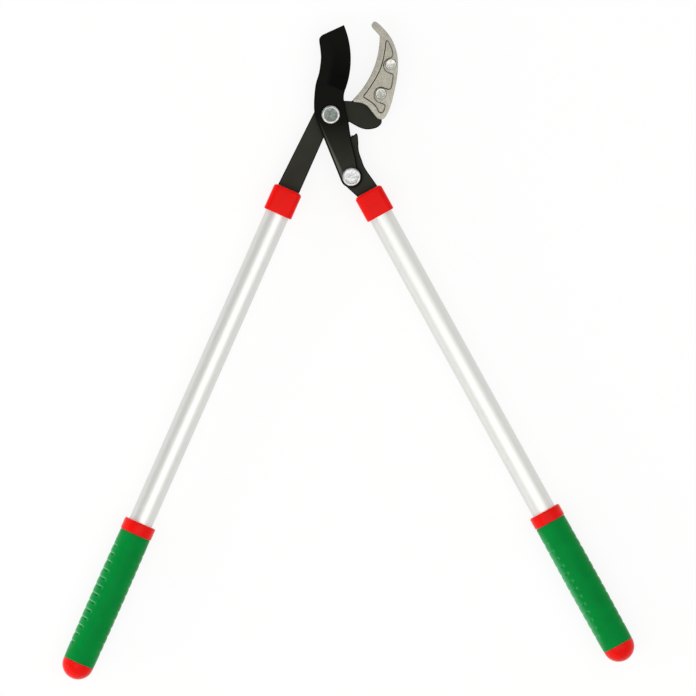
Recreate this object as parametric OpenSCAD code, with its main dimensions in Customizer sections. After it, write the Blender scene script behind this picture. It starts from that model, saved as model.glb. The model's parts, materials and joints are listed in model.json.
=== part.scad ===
// Geared anvil lopper, lying open on a bench.
// X runs to the right, Y points from the grips to the jaws and Z is up.
// The origin is on the main pivot's axis, at the level of the bench.

/* [Motion] */
// Turn of the blade from its open rest until the edge meets the anvil, in degrees
close_angle = 24; // [18:0.5:28]
// Lean of the line from the main pivot to the link pivot, in degrees
link_lean = 18.4; // [14:0.2:22]
// Lean of the left handle, in degrees
left_lean = 23.9; // [20:0.1:30]
// Lean of the right handle, in degrees
right_lean = 28.9; // [24:0.1:36]

/* [Gearing] */
// Module of the gear teeth
gear_module = 2.5; // [2.2:0.05:2.8]
// Teeth that the hook's gear would have all the way round
hook_teeth = 20; // [18:1:22]
// Teeth that the lever's gear would have all the way round
lever_teeth = 34; // [32:1:36]
// Pressure angle of the teeth, in degrees
pressure_angle = 20; // [18:0.5:22]
// Play taken off each flank of a tooth
tooth_play = 0.15; // [0.05:0.01:0.3]

/* [Blade] */
// Height of the blade's tip over the main pivot
blade_reach = 92.4; // [80:0.5:105]
// Width of the blade
blade_w = 34; // [30:0.5:38]
// Thickness of the blade
blade_t = 4.5; // [3:0.1:6]
// Radius of the curved cutting edge
edge_r = 90; // [75:1:110]
// Thickness that the grinding leaves along the edge
edge_t = 0.8; // [0.3:0.1:1.5]
// Width of the ground bevel
grind_w = 20; // [12:0.5:22]
// Width of the blade's tail
tail_w = 30; // [27:0.5:33]
// Diameter of the tail's round end
tail_end_d = 22.6; // [20.6:0.2:24.6]

/* [Hook and anvil] */
// Thickness of the hook and lever plates
plate_t = 6; // [4:0.25:8]
// Diameter of the hook's eye around the main pivot
hook_eye_d = 33; // [30:0.5:36]
// Greatest depth of the anvil behind its edge
anvil_w = 36; // [32:0.5:40]
// Thickness of the anvil
anvil_t = 9.5; // [7:0.25:12]
// Gap left between the closed blade and the anvil
bite_gap = 0.4; // [0.3:0.05:1]
// Depth of the pocket in the anvil's face
pocket_depth = 1.8; // [0.8:0.1:3]
// Width of the rim between the pocket and the anvil's edge
pocket_rim = 6.4; // [5:0.2:8]
// Width of the rim between the pocket and the anvil's back
back_rim = 4.5; // [3:0.1:6]
// Diameter of the flat bosses around the rivets
boss_d = 14; // [12.5:0.1:15]
// Step from the anvil's outline in to the steel behind it
hook_inset = 1.5; // [0.5:0.1:3]
// Diameter of the rivets' shanks
rivet_d = 6; // [4:0.25:8]
// Diameter of the rivets' heads
rivet_head_d = 11.2; // [9.5:0.1:12]
// Height of the rivets' heads
rivet_head_h = 1.6; // [1:0.1:2.5]

/* [Lever] */
// Diameter of the lever's eye around the link pivot
lever_eye_d = 21.6; // [20:0.2:24]

/* [Pivots] */
// Diameter of the bolts' plain shanks
shank_d = 12; // [10.5:0.25:13]
// Diameter of the bolts' threaded ends
thread_d = 10; // [8:0.25:10]
// Diameter of the bolts' heads
head_d = 18.6; // [16:0.2:20]
// Height of the bolts' heads
head_h = 4; // [2.5:0.1:6]
// Width of the bevel around a bolt's head
head_bevel = 1.6; // [0.8:0.1:2]
// Diameter of the slip washers between blade and plates
slip_d = 20; // [18:0.5:20.5]
// Thickness of the slip washers
slip_t = 0.8; // [0.5:0.1:1.5]
// Diameter of the washers under the nuts
washer_d = 20; // [19.8:0.1:21]
// Thickness of the washers under the nuts
washer_t = 1.6; // [1:0.1:2.5]
// Width of the nuts across their flats
nut_flats = 17; // [15:0.25:17]
// Height of the nuts
nut_h = 9.6; // [7:0.1:10]

/* [Handles] */
// Outer diameter of the tubes
tube_d = 25; // [23.5:0.1:26.5]
// Wall of the tubes
tube_wall = 1.5; // [1:0.1:2]
// Length of bare tube between collar and grip
bare_l = 348; // [200:1:500]
// From the main pivot to the left collar, along the handle
left_setback = 87.5; // [80:0.5:110]
// From the main pivot to the left handle's axis, across it
left_offset = 8.8; // [7:0.1:10]
// From the link pivot to the right collar, along the handle
right_setback = 21.1; // [19:0.1:40]
// From the link pivot to the right handle's axis, across it
right_offset = 7.4; // [6:0.1:9]
// Width of the straps where they enter the collars
strap_w = 23.4; // [20:0.2:25]
// Width of the tangs inside the tubes
tang_w = 17; // [12:0.5:18]
// Length of the tangs from the collars' tops
tang_l = 58; // [40:1:90]
// Diameter of the rivets through tube and tang
tang_rivet_d = 5; // [3:0.25:6]

/* [Collars] */
// Length of the collars
collar_l = 28; // [22:0.5:34]
// Width of the collars
collar_w = 30.5; // [29:0.5:34]
// Thickness of the collars, front to back
collar_t = 28.6; // [27.6:0.2:31]
// Width of the bevels across the corners of the collars' tops
collar_bevel = 2.4; // [1:0.1:3]
// Thickness of the collars' end walls
collar_floor = 5; // [4:0.25:8]

/* [Grips] */
// Greatest diameter of the grips
grip_d = 34; // [33:0.5:38]
// Diameter of the grips at the ends of their covers
grip_end_d = 32.6; // [31:0.2:33]
// Length of the ring above each cover
ring_l = 13; // [8:0.5:18]
// Diameter of the ring
ring_d = 34; // [32:0.2:34.6]
// Length of each cover
cover_l = 144.5; // [110:0.5:180]
// Wall of the covers at their ends
cover_wall = 2; // [1.2:0.1:2.4]
// Length of the round end past each cover
cap_l = 17.6; // [16.5:0.1:22]
// Ribs along each side of a cover
rib_count = 13; // [8:1:16]
// Depth of the grooves between the ribs
rib_depth = 0.8; // [0.3:0.1:1.4]

/* [Hidden] */
$fn = 96;

// Running clearance on a radius
fit = 0.05;
// Axial play beside the blade
side_play = 0.1;
// Clearance around a piece that is pushed into place
slide_gap = 0.2;
// Overrun of every cut past the face it goes through
overrun = 1;
// Depth by which joined pieces of one outline run into each other
overlap = 1;

// Pieces in a curve between two chosen points
curve_steps = 4;
// Pieces in an arc of a cutting edge
edge_steps = 28;
// Pieces in a flank of a gear tooth
flank_steps = 5;

// Levels above the bench
axis_z = grip_d / 2;
plate_z = axis_z - plate_t / 2;
slip_z = plate_z + plate_t;
anvil_z = slip_z;
blade_z = slip_z + slip_t + side_play;
head_z = blade_z + blade_t + side_play;
washer_z = plate_z - washer_t;
nut_z = washer_z - nut_h;

// Gears
hook_pitch_r = gear_module * hook_teeth / 2;
lever_pitch_r = gear_module * lever_teeth / 2;
addendum_share = 1;
dedendum_share = 1.25;
lever_tip_r = lever_pitch_r + addendum_share * gear_module;
// Angle of the lever's first tooth from the line between the pivots
first_tooth_angle = 3.8;
lever_tooth_turns = [-2, -1, 0, 1];
hook_tooth_turns = [-2, -1, 0];
link_spacing = hook_pitch_r + lever_pitch_r;
link_angle = link_lean - 90;
link = link_spacing * [cos(link_angle), sin(link_angle)];
link_right = [-sin(link_angle), cos(link_angle)];

// Blade, in shares of its width and reach
blade_spine_shares = [
    [-0.24, 0.892], [-0.325, 0.862], [-0.35, 0.828], [-0.318, 0.735], [-0.297, 0.645],
    [-0.318, 0.551], [-0.359, 0.46], [-0.456, 0.338], [-0.5, 0.189], [-0.505, 0.061],
    [-0.468, -0.02], [-0.42, -0.069]
];
blade_tip_shares = [0.4, 1];
blade_heel_shares = [0.44, 0.278];
blade_throat_shares = [[0.44, 0.1], [0.402, 0.16], [0.396, 0.205], [0.415, 0.25]];
// Sides of the tail, in shares of the pivots' spacing and of the tail's width
tail_left_share = [1.011, -0.376];
tail_side_shares = [
    [0.9, 0.302], [0.85, 0.322], [0.747, 0.358], [0.63, 0.381], [0.509, 0.396], [0.386, 0.427],
    [0.309, 0.455], [0.19, 0.503], [0.06, 0.53]
];
blade_tip = at_shares(blade_tip_shares, blade_w, blade_reach);
blade_heel = at_shares(blade_heel_shares, blade_w, blade_reach);
edge_c = arc_centre(blade_tip, blade_heel, edge_r);
tip_angle = angle_of(blade_tip - edge_c);
heel_angle = angle_of(blade_heel - edge_c);
// Angle by which the grinding runs past the edge's two ends
grind_runout = 1;
grind_past_tip = 20;

// Anvil and hook, in stations along the closed blade's edge: the first share goes from
// its heel to its tip, and the second is the depth behind the edge over the anvil's depth
anvil_c = turned(edge_c, -close_angle);
anvil_r = edge_r + bite_gap;
edge_span_shares = [-0.035, 1.036];
anvil_tip_shares = [[1.172, -0.206], [1.216, -0.208], [1.26, -0.117], [1.241, -0.055]];
anvil_back_shares = [
    [1.186, 0.04], [1.098, 0.18], [0.998, 0.33], [0.89, 0.456], [0.782, 0.558], [0.68, 0.63],
    [0.531, 0.72], [0.372, 0.817], [0.244, 0.917], [0.131, 0.997], [0.057, 1.008]
];
anvil_foot_shares = [
    [0.025, 0.917], [0.021, 0.817], [0.032, 0.633], [0.044, 0.456], [0.032, 0.3], [0, 0.178],
    [-0.048, 0.072]
];
rivet_shares = [[0.663, 0.433], [0.273, 0.514]];
boss_neck_share = 0.9;
pocket_span_shares = [0.1, 0.96];
pocket_foot_shares = [
    [0.117, 0.875], [0.085, 0.83], [0.083, 0.755], [0.115, 0.59], [0.113, 0.41], [0.092, 0.22]
];
hook_throat_shares = [[-0.14, -0.14], [-0.062, 0.0]];
hook_span_shares = [0.03, 0.98];
hook_nose_shares = [
    [0.009, 1.056], [-0.06, 1.042], [-0.138, 0.922], [-0.189, 0.778], [-0.23, 0.589],
    [-0.262, 0.433]
];
// Where the hook's outline closes inside its eye, as shares of the eye and as angles
hook_root_share = 0.8;
hook_root_angles = [-60, 100];
rivet_tail_share = 0.9;

// Lever, as angles to the right of the line to the main pivot and shares of its tip radius
lever_lug_shares = [[17, 0.9], [18.5, 0.953], [21.5, 0.955], [23.8, 0.995], [24.8, 1.008], [26, 1]];
lever_right_shares = [
    [28, 0.909], [30, 0.8], [31.5, 0.711], [36.6, 0.582], [49.6, 0.46], [76.8, 0.373]
];
lever_left_shares = [[-66, 0.247], [-43.7, 0.347], [-27.1, 0.558], [-19.9, 0.79], [-18.8, 0.845]];

// Bolts and nuts
thread_chamfer_share = 0.1;
thread_chamfer = thread_chamfer_share * thread_d;
thread_end_z = 0;
nut_collar_share = 0.3;
nut_collar_d_share = 0.86;

// Handles, along their axes from the collars' tops
grip_start = collar_l + bare_l;
cover_start = grip_start + ring_l;
cover_end = cover_start + cover_l;
bore_d = tube_d + 2 * fit;
sleeve_d = grip_end_d - 2 * cover_wall;
tube_start = collar_floor + overlap / 2;
tube_end = cover_end;
shoulder_at = collar_floor - overlap / 2;
plug_d = tube_d - 2 * tube_wall - 2 * fit;
plug_l = tang_l + tang_w / 2;
tang_rivet_at = (tube_start + collar_l) / 2;
tang_rivet_l = sqrt(pow(tube_d, 2) - pow(tang_rivet_d, 2)) - 2 * slide_gap;
collar_corner_share = 0.27;
ring_round_share = 0.125;
ring_round = ring_round_share * ring_l;
ring_groove = cover_wall / 2;

// Pieces along the cover's swell, and the power that flattens its middle
swell_steps = 20;
swell_power = 0.6;
// Part of the cover's length that the ribs take, and how far their field reaches round it
rib_field_share = 0.81;
rib_reach_share = 0.62;
// How much of that reach the field's ends lose, and a groove's radius over the ribs' pitch
rib_taper_share = 0.5;
groove_share = 0.33;

left_angle = -90 - left_lean;
right_angle = right_lean - 90;
left_origin = along(left_angle, left_setback, left_offset, -1);
right_origin = link + along(right_angle, right_setback, right_offset, 1);

function polar(r, a) = [r * cos(a), r * sin(a)];
function turned(p, a) = [p.x * cos(a) - p.y * sin(a), p.x * sin(a) + p.y * cos(a)];
function angle_of(p) = atan2(p.y, p.x);
function reversed(list) = [for (i = [len(list) - 1:-1:0]) list[i]];
function at_shares(shares, w, h) = [shares.x * w, shares.y * h];
function arc(c, r, from, to, steps) = [for (i = [0:steps]) c + polar(r, from + (to - from) * i / steps)];

// A point on a handle's axis, from the pivot: along it, then off it to one side
function along(angle, distance, offset, side) = polar(distance, angle) + side * polar(offset, angle + 90);

// Centre of the arc of radius r from one point to another, bulging to the right
function arc_centre(top, bottom, r) =
    let (half = (top - bottom) / 2, run = norm(half), left = [-half.y, half.x] / run)
    (top + bottom) / 2 + left * sqrt(r * r - run * run);

// Point where the line from p touches the circle about c, on the given side of the line to p
function touch_point(p, c, r, side) =
    c + polar(r, angle_of(p - c) + side * acos(r / norm(p - c)));

// Smooth curve through the points, by cubic pieces whose slopes follow the neighbouring points
function curve_point(a, b, c, d, t) =
    b + ((c - a) * t + (2 * a - 5 * b + 4 * c - d) * t * t + (3 * b - a - 3 * c + d) * t * t * t) / 2;
function smooth(points) =
    let (last = len(points) - 1)
    concat(
        [for (i = [0:last - 1], j = [0:curve_steps - 1])
            curve_point(points[max(i - 1, 0)], points[i], points[i + 1], points[min(i + 2, last)],
                j / curve_steps)],
        [points[last]]
    );

// A station of the jaw: along the closed edge by a share, then behind it by a depth
function jaw(share, depth) =
    anvil_c + polar(anvil_r + depth, heel_angle - close_angle + share * (tip_angle - heel_angle));
function jaw_points(shares, inset = 0) = [for (s = shares) jaw(s[0], s[1] * anvil_w - inset)];
function rivet_place(shares) = jaw(shares[0], shares[1] * anvil_w);
function jaw_arc(span, depth) =
    [for (i = [0:edge_steps]) jaw(span[0] + (span[1] - span[0]) * i / edge_steps, depth)];

// Outline of a gear sector: teeth of involute flanks on a fan about the gear's centre
function involute(a) = tan(a) * 180 / PI - a;
function flank_angle(teeth, r) =
    let (pitch_r = gear_module * teeth / 2, base_r = pitch_r * cos(pressure_angle))
    90 / teeth - tooth_play / pitch_r * 180 / PI + involute(pressure_angle)
        - involute(acos(min(1, base_r / r)));
function tooth(teeth, middle) =
    let (
        pitch_r = gear_module * teeth / 2,
        root_r = pitch_r - dedendum_share * gear_module,
        tip_r = pitch_r + addendum_share * gear_module,
        start_r = max(root_r, pitch_r * cos(pressure_angle)),
        radii = [for (i = [0:flank_steps]) start_r + (tip_r - start_r) * i / flank_steps]
    )
    concat(
        [polar(root_r, middle - 180 / teeth), polar(root_r, middle - flank_angle(teeth, start_r))],
        [for (r = radii) polar(r, middle - flank_angle(teeth, r))],
        [for (r = reversed(radii)) polar(r, middle + flank_angle(teeth, r))],
        [polar(root_r, middle + flank_angle(teeth, start_r)), polar(root_r, middle + 180 / teeth)]
    );

// Where the right strap's outer side enters its collar, from the link pivot
strap_entry = turned([right_setback, right_offset + strap_w / 2], right_angle);
function lever_points(shares) =
    [for (s = shares) polar(s[1] * lever_tip_r, link_angle + 180 - s[0])];

tail_side_points = [for (s = tail_side_shares) s[0] * link + s[1] * tail_w * link_right];
spine_points = [for (s = blade_spine_shares) at_shares(s, blade_w, blade_reach)];
throat_points = [for (s = blade_throat_shares) at_shares(s, blade_w, blade_reach)];
tail_left_point = tail_left_share[0] * link + tail_left_share[1] * tail_w * link_right;
blade_outline = concat(
    smooth(spine_points),
    tail_arc(tail_left_point, tail_side_points[0]),
    smooth(concat(tail_side_points, throat_points)),
    arc(edge_c, edge_r, heel_angle, tip_angle, edge_steps)
);
function tail_arc(from, to) =
    let (a = angle_of(from - link), b = angle_of(to - link))
    arc(link, tail_end_d / 2, a, b > a ? b : b + 360, edge_steps);

anvil_back = smooth(concat(jaw_points(anvil_tip_shares), jaw_points(anvil_back_shares),
    jaw_points(anvil_foot_shares)));
anvil_outline = reversed(concat(jaw_arc(edge_span_shares, 0), anvil_back));
pocket_outline = reversed(concat(
    jaw_arc(pocket_span_shares, pocket_rim),
    smooth([for (s = anvil_back_shares) if (s[0] < pocket_span_shares[1] && s[0] > pocket_span_shares[0])
        jaw(s[0], s[1] * anvil_w - back_rim)]),
    smooth(jaw_points(pocket_foot_shares))
));
hook_outline = reversed(concat(
    jaw_points(hook_throat_shares),
    jaw_arc(hook_span_shares, hook_inset),
    smooth(concat(jaw_points(anvil_back_shares, hook_inset), jaw_points(hook_nose_shares))),
    [for (a = hook_root_angles) polar(hook_root_share * hook_eye_d / 2, a)]
));

lever_outline = reversed(concat(
    [[0, 0]],
    smooth(lever_points(lever_left_shares)),
    lever_points(lever_lug_shares),
    smooth(concat(lever_points(lever_right_shares), [strap_entry]))
));

module at_left() {
    translate([left_origin.x, left_origin.y, axis_z]) rotate([0, 0, left_angle]) children();
}

module at_right() {
    translate([right_origin.x, right_origin.y, axis_z]) rotate([0, 0, right_angle]) children();
}

// Stands a shape of revolution along a handle's axis
module lay_along() {
    rotate([0, 90, 0]) children();
}

module at_link() {
    translate([link.x, link.y, 0]) children();
}

module bore(d, z, h) {
    translate([0, 0, z - overrun]) cylinder(h = h + 2 * overrun, d = d);
}

// Strap and tang of a plate, drawn in its handle's own directions: one side runs from the collar
// to the given top, and the other touches the eye
module strap_outline(eye_c, eye_d, top) {
    inner_entry = [0, -strap_w / 2];
    touch = touch_point(inner_entry, eye_c, eye_d / 2, -1);
    polygon([[shoulder_at, -strap_w / 2], [shoulder_at, strap_w / 2], top, eye_c, touch, inner_entry]);
    translate([shoulder_at - overlap, -tang_w / 2]) square([tang_l - shoulder_at + overlap, tang_w]);
}

module hook_arm() {
    eye_c = [-left_setback, left_offset];
    middles = [for (k = hook_tooth_turns)
        link_angle + first_tooth_angle * lever_teeth / hook_teeth + (k + 1 / 2) * 360 / hook_teeth];
    color("#33332b")
    difference() {
        translate([0, 0, plate_z]) linear_extrude(plate_t) {
            circle(d = hook_eye_d);
            polygon(hook_outline);
            polygon(concat([[0, 0]], [for (m = middles) each tooth(hook_teeth, m)]));
            translate(left_origin) rotate(left_angle)
                strap_outline(eye_c, hook_eye_d, [-left_setback, strap_w / 2]);
        }
        bore(shank_d + 2 * fit, plate_z, plate_t);
        for (s = rivet_shares)
            translate(rivet_place(s)) bore(rivet_d + 2 * fit, plate_z, plate_t);
        at_left() translate([tang_rivet_at, 0, -axis_z]) bore(tang_rivet_d + 2 * fit, plate_z, plate_t);
    }
}

// Round boss with a neck that runs back into the rim
module boss_outline(place) {
    neck_w = boss_neck_share * boss_d;
    translate(place) circle(d = boss_d);
    translate(place) rotate(angle_of(place - anvil_c))
        translate([0, -neck_w / 2]) square([anvil_w, neck_w]);
}

module anvil() {
    color("#b4afa5")
    difference() {
        translate([0, 0, anvil_z]) linear_extrude(anvil_t) polygon(anvil_outline);
        translate([0, 0, anvil_z + anvil_t - pocket_depth]) linear_extrude(pocket_depth + overrun)
            difference() {
                polygon(pocket_outline);
                for (s = rivet_shares) boss_outline(rivet_place(s));
            }
        for (s = rivet_shares)
            translate(rivet_place(s)) bore(rivet_d + 2 * fit, anvil_z, anvil_t);
    }
}

// Low domed head: an arc that rises by h over a disc of diameter d
module domed_head(d, h) {
    dome_r = (d * d / 4 + h * h) / (2 * h);
    intersection() {
        translate([0, 0, h - dome_r]) sphere(r = dome_r);
        cylinder(h = h, d = d);
    }
}

module anvil_rivets() {
    color("#c9c4bb")
    for (s = rivet_shares) translate(rivet_place(s)) {
        translate([0, 0, plate_z]) cylinder(h = plate_t + anvil_t, d = rivet_d);
        translate([0, 0, anvil_z + anvil_t]) domed_head(rivet_head_d, rivet_head_h);
        translate([0, 0, plate_z]) mirror([0, 0, 1])
            domed_head(rivet_head_d * rivet_tail_share, rivet_head_h);
    }
}

// Cone cut that grinds one face of the blade down to half the edge's thickness
module grind() {
    from = heel_angle - grind_runout;
    slope = (blade_t - edge_t) / 2 / grind_w;
    reach = grind_w + overrun;
    translate(edge_c) rotate(from)
        rotate_extrude(angle = tip_angle - from + grind_past_tip, $fn = 2 * $fn)
        translate([edge_r - grind_w, 0])
        polygon([[0, 0], [reach, -slope * reach], [reach, overrun], [0, overrun]]);
}

module blade() {
    color("#191914")
    difference() {
        translate([0, 0, blade_z]) linear_extrude(blade_t) polygon(blade_outline);
        translate([0, 0, blade_z + blade_t]) grind();
        translate([0, 0, blade_z]) mirror([0, 0, 1]) grind();
        bore(shank_d + 2 * fit, blade_z, blade_t);
        at_link() bore(shank_d + 2 * fit, blade_z, blade_t);
    }
}

module lever_arm() {
    eye_c = [-right_setback, -right_offset];
    middles = [for (k = lever_tooth_turns) link_angle + 180 - first_tooth_angle + k * 360 / lever_teeth];
    fan = [for (m = middles) each tooth(lever_teeth, m)];
    color("#33332b")
    difference() {
        translate([0, 0, plate_z]) linear_extrude(plate_t) {
            translate(link) {
                circle(d = lever_eye_d);
                // The root outside the last tooth is left out: that side is the lug's
                polygon(concat([[0, 0]], [for (i = [1:len(fan) - 1]) fan[i]]));
                polygon(lever_outline);
            }
            translate(right_origin) rotate(right_angle)
                strap_outline(eye_c, lever_eye_d, [0, strap_w / 2]);
        }
        at_link() bore(shank_d + 2 * fit, plate_z, plate_t);
        at_right() translate([tang_rivet_at, 0, -axis_z]) bore(tang_rivet_d + 2 * fit, plate_z, plate_t);
    }
}

// Bolt: bevelled head on the blade, plain shank through blade and plate, threaded end to the bench
module bolt() {
    rotate_extrude() polygon([
        [0, thread_end_z], [thread_d / 2 - thread_chamfer, thread_end_z],
        [thread_d / 2, thread_end_z + thread_chamfer], [thread_d / 2, plate_z],
        [shank_d / 2, plate_z], [shank_d / 2, head_z], [head_d / 2, head_z],
        [head_d / 2, head_z + head_h - head_bevel], [head_d / 2 - head_bevel, head_z + head_h],
        [0, head_z + head_h]
    ]);
}

module ring(d, hole_d, z, h) {
    difference() {
        translate([0, 0, z]) cylinder(h = h, d = d);
        bore(hole_d, z, h);
    }
}

// Lock nut: hexagon with a round collar that holds the locking ring
module nut() {
    collar_h = nut_h * nut_collar_share;
    difference() {
        union() {
            translate([0, 0, nut_z + collar_h])
                cylinder(h = nut_h - collar_h, d = nut_flats / cos(30), $fn = 6);
            translate([0, 0, nut_z]) cylinder(h = collar_h + overlap, d = nut_flats * nut_collar_d_share);
        }
        bore(thread_d + 2 * fit, nut_z, nut_h);
    }
}

module pivot_bolt() {
    color("#9aa0a0") bolt();
}

module pivot_slip_washer() {
    color("#b09a5a") ring(slip_d, shank_d + 2 * fit, slip_z, slip_t);
}

module pivot_washer() {
    color("#a8aaa8") ring(washer_d, thread_d + 2 * fit, washer_z, washer_t);
}

module pivot_nut() {
    color("#a8aaa8") nut();
}

module link_bolt() {
    color("#c8cccc") at_link() bolt();
}

module link_slip_washer() {
    color("#b09a5a") at_link() ring(slip_d, shank_d + 2 * fit, slip_z, slip_t);
}

module link_washer() {
    color("#a8aaa8") at_link() ring(washer_d, thread_d + 2 * fit, washer_z, washer_t);
}

module link_nut() {
    color("#a8aaa8") at_link() nut();
}

function round_corner(c, r, from) = arc(c, r, from, from + 90, 2 * curve_steps);
function round_box(w, t, r) = concat(
    round_corner([w / 2 - r, t / 2 - r], r, 0), round_corner([r - w / 2, t / 2 - r], r, 90),
    round_corner([r - w / 2, r - t / 2], r, 180), round_corner([w / 2 - r, r - t / 2], r, 270)
);

// Collar: socket over the tube's end, with a slot in its end wall for the strap
module collar() {
    half_w = collar_w / 2;
    difference() {
        intersection() {
            lay_along() linear_extrude(collar_l)
                polygon(round_box(collar_t, collar_w, collar_corner_share * collar_w));
            translate([0, 0, -collar_t / 2 - overrun]) linear_extrude(collar_t + 2 * overrun) polygon([
                [0, collar_bevel - half_w], [collar_bevel, -half_w - overrun],
                [collar_l + overrun, -half_w - overrun], [collar_l + overrun, half_w + overrun],
                [collar_bevel, half_w + overrun], [0, half_w - collar_bevel]
            ]);
        }
        lay_along() translate([0, 0, collar_floor]) cylinder(h = collar_l, d = bore_d);
        translate([-overrun, -strap_w / 2 - slide_gap, -plate_t / 2 - slide_gap])
            cube([collar_floor + 2 * overrun, strap_w + 2 * slide_gap, plate_t + 2 * slide_gap]);
    }
}

// Plug: fills the tube's mouth and holds the tang
module tang_plug() {
    difference() {
        lay_along() translate([0, 0, tube_start]) cylinder(h = plug_l, d = plug_d);
        translate([tube_start - overrun, -tang_w / 2 - fit, -plate_t / 2 - fit])
            cube([tang_l - tube_start + overrun + slide_gap, tang_w + 2 * fit, plate_t + 2 * fit]);
        tang_rivet_bore();
    }
}

module tang_rivet_bore() {
    translate([tang_rivet_at, 0, -tube_d / 2 - overrun])
        cylinder(h = tube_d + 2 * overrun, d = tang_rivet_d + 2 * fit);
}

module tang_rivet() {
    translate([tang_rivet_at, 0, -tang_rivet_l / 2]) cylinder(h = tang_rivet_l, d = tang_rivet_d);
}

module tube() {
    difference() {
        lay_along() translate([0, 0, tube_start]) cylinder(h = tube_end - tube_start, d = tube_d);
        lay_along() translate([0, 0, tube_start - overrun])
            cylinder(h = tube_end - tube_start + 2 * overrun, d = tube_d - 2 * tube_wall);
        tang_rivet_bore();
    }
}

// Grip core: ring, sleeve over the tube and round end in one moulding
module grip_core() {
    end_r = grip_end_d / 2;
    dome_r = (end_r * end_r + cap_l * cap_l) / (2 * cap_l);
    lay_along() difference() {
        union() {
            translate([0, 0, grip_start]) rotate_extrude() polygon([
                [0, 0], [ring_d / 2 - ring_round, 0], [ring_d / 2, ring_round],
                [ring_d / 2, ring_l - ring_groove], [end_r, ring_l], [0, ring_l]
            ]);
            translate([0, 0, cover_start - overlap]) cylinder(h = cover_l + 2 * overlap, d = sleeve_d);
            intersection() {
                translate([0, 0, cover_end + cap_l - dome_r]) sphere(r = dome_r);
                translate([0, 0, cover_end]) cylinder(h = cap_l + overrun, d = grip_end_d);
            }
        }
        translate([0, 0, grip_start - overrun])
            cylinder(h = tube_end + slide_gap - grip_start + overrun, d = bore_d);
    }
}

// Grip cover: soft sleeve that swells towards its middle, with grooves across its two sides
module grip_cover() {
    swell = (grip_d - grip_end_d) / 2;
    field_l = rib_field_share * cover_l;
    rib_pitch = field_l / rib_count;
    groove_r = groove_share * rib_pitch;
    difference() {
        lay_along() translate([0, 0, cover_start]) rotate_extrude() polygon(concat(
            [[sleeve_d / 2 + fit, cover_l], [sleeve_d / 2 + fit, 0]],
            [for (i = [0:swell_steps])
                [grip_end_d / 2 + swell * pow(sin(180 * i / swell_steps), swell_power),
                    cover_l * i / swell_steps]]
        ));
        for (side = [-1, 1], i = [0:rib_count]) {
            middle_share = 2 * i / rib_count - 1;
            reach = rib_reach_share * grip_d / 2 * sqrt(1 - rib_taper_share * pow(middle_share, 2));
            translate([
                cover_start + cover_l / 2 + middle_share * field_l / 2,
                side * (grip_d / 2 + groove_r - rib_depth), -reach
            ]) cylinder(h = 2 * reach, r = groove_r);
        }
    }
}

module left_collar() {
    color("#eb1e14") at_left() collar();
}

module left_tang_plug() {
    color("#3a3a3a") at_left() tang_plug();
}

module left_tang_rivet() {
    color("#9aa0a0") at_left() tang_rivet();
}

module left_tube() {
    color("#dcdcdc") at_left() tube();
}

module left_grip_core() {
    color("#eb1e14") at_left() grip_core();
}

module left_grip_cover() {
    color("#047b32") at_left() grip_cover();
}

module right_collar() {
    color("#eb1e14") at_right() collar();
}

module right_tang_plug() {
    color("#3a3a3a") at_right() tang_plug();
}

module right_tang_rivet() {
    color("#9aa0a0") at_right() tang_rivet();
}

module right_tube() {
    color("#dcdcdc") at_right() tube();
}

module right_grip_core() {
    color("#eb1e14") at_right() grip_core();
}

module right_grip_cover() {
    color("#047b32") at_right() grip_cover();
}

hook_arm();
anvil();
anvil_rivets();
blade();
lever_arm();
pivot_bolt();
pivot_slip_washer();
pivot_washer();
pivot_nut();
link_bolt();
link_slip_washer();
link_washer();
link_nut();
left_collar();
left_tang_plug();
left_tang_rivet();
left_tube();
left_grip_core();
left_grip_cover();
right_collar();
right_tang_plug();
right_tang_rivet();
right_tube();
right_grip_core();
right_grip_cover();
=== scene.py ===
import json
import math

import bmesh
import bpy
import numpy as np
from bpy.props import FloatProperty, IntProperty, PointerProperty, StringProperty
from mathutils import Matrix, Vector
from mathutils.geometry import tessellate_polygon


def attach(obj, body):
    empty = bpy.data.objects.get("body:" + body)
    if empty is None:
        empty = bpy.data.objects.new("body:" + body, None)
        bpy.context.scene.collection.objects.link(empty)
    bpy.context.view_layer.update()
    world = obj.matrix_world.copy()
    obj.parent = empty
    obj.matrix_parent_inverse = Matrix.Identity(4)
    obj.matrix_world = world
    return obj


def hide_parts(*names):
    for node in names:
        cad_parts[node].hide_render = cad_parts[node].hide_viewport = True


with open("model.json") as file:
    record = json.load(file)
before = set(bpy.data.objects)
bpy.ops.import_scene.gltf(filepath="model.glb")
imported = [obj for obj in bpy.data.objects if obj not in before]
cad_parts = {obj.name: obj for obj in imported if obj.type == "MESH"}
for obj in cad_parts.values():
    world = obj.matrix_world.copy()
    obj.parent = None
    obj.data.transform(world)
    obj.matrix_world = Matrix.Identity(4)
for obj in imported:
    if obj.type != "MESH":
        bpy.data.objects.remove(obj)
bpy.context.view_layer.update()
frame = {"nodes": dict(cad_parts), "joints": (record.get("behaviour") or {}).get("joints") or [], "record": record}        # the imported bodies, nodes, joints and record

bl_info = {
    "name": "Anvil lopper",
    "version": (1, 0, 0),
    "blender": (4, 5, 0),
    "location": "View3D > Sidebar > Lopper",
    "description": "Dresses a geared anvil lopper with its finishes, ribbed grips and studio",
    "category": "Object",
}

MM = 0.001
SIDES = ("left", "right")
BODY_OF = {"left": "hook_side", "right": "lever_side"}
WHITE = "#FFFFFF"

# Settings of nodes that mix colours or do sums
RGBA = {"data_type": "RGBA"}
MULTIPLY, MAXIMUM = {"operation": "MULTIPLY"}, {"operation": "MAXIMUM"}
DISTANCE, DOT = {"operation": "DISTANCE"}, {"operation": "DOT_PRODUCT"}

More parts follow.
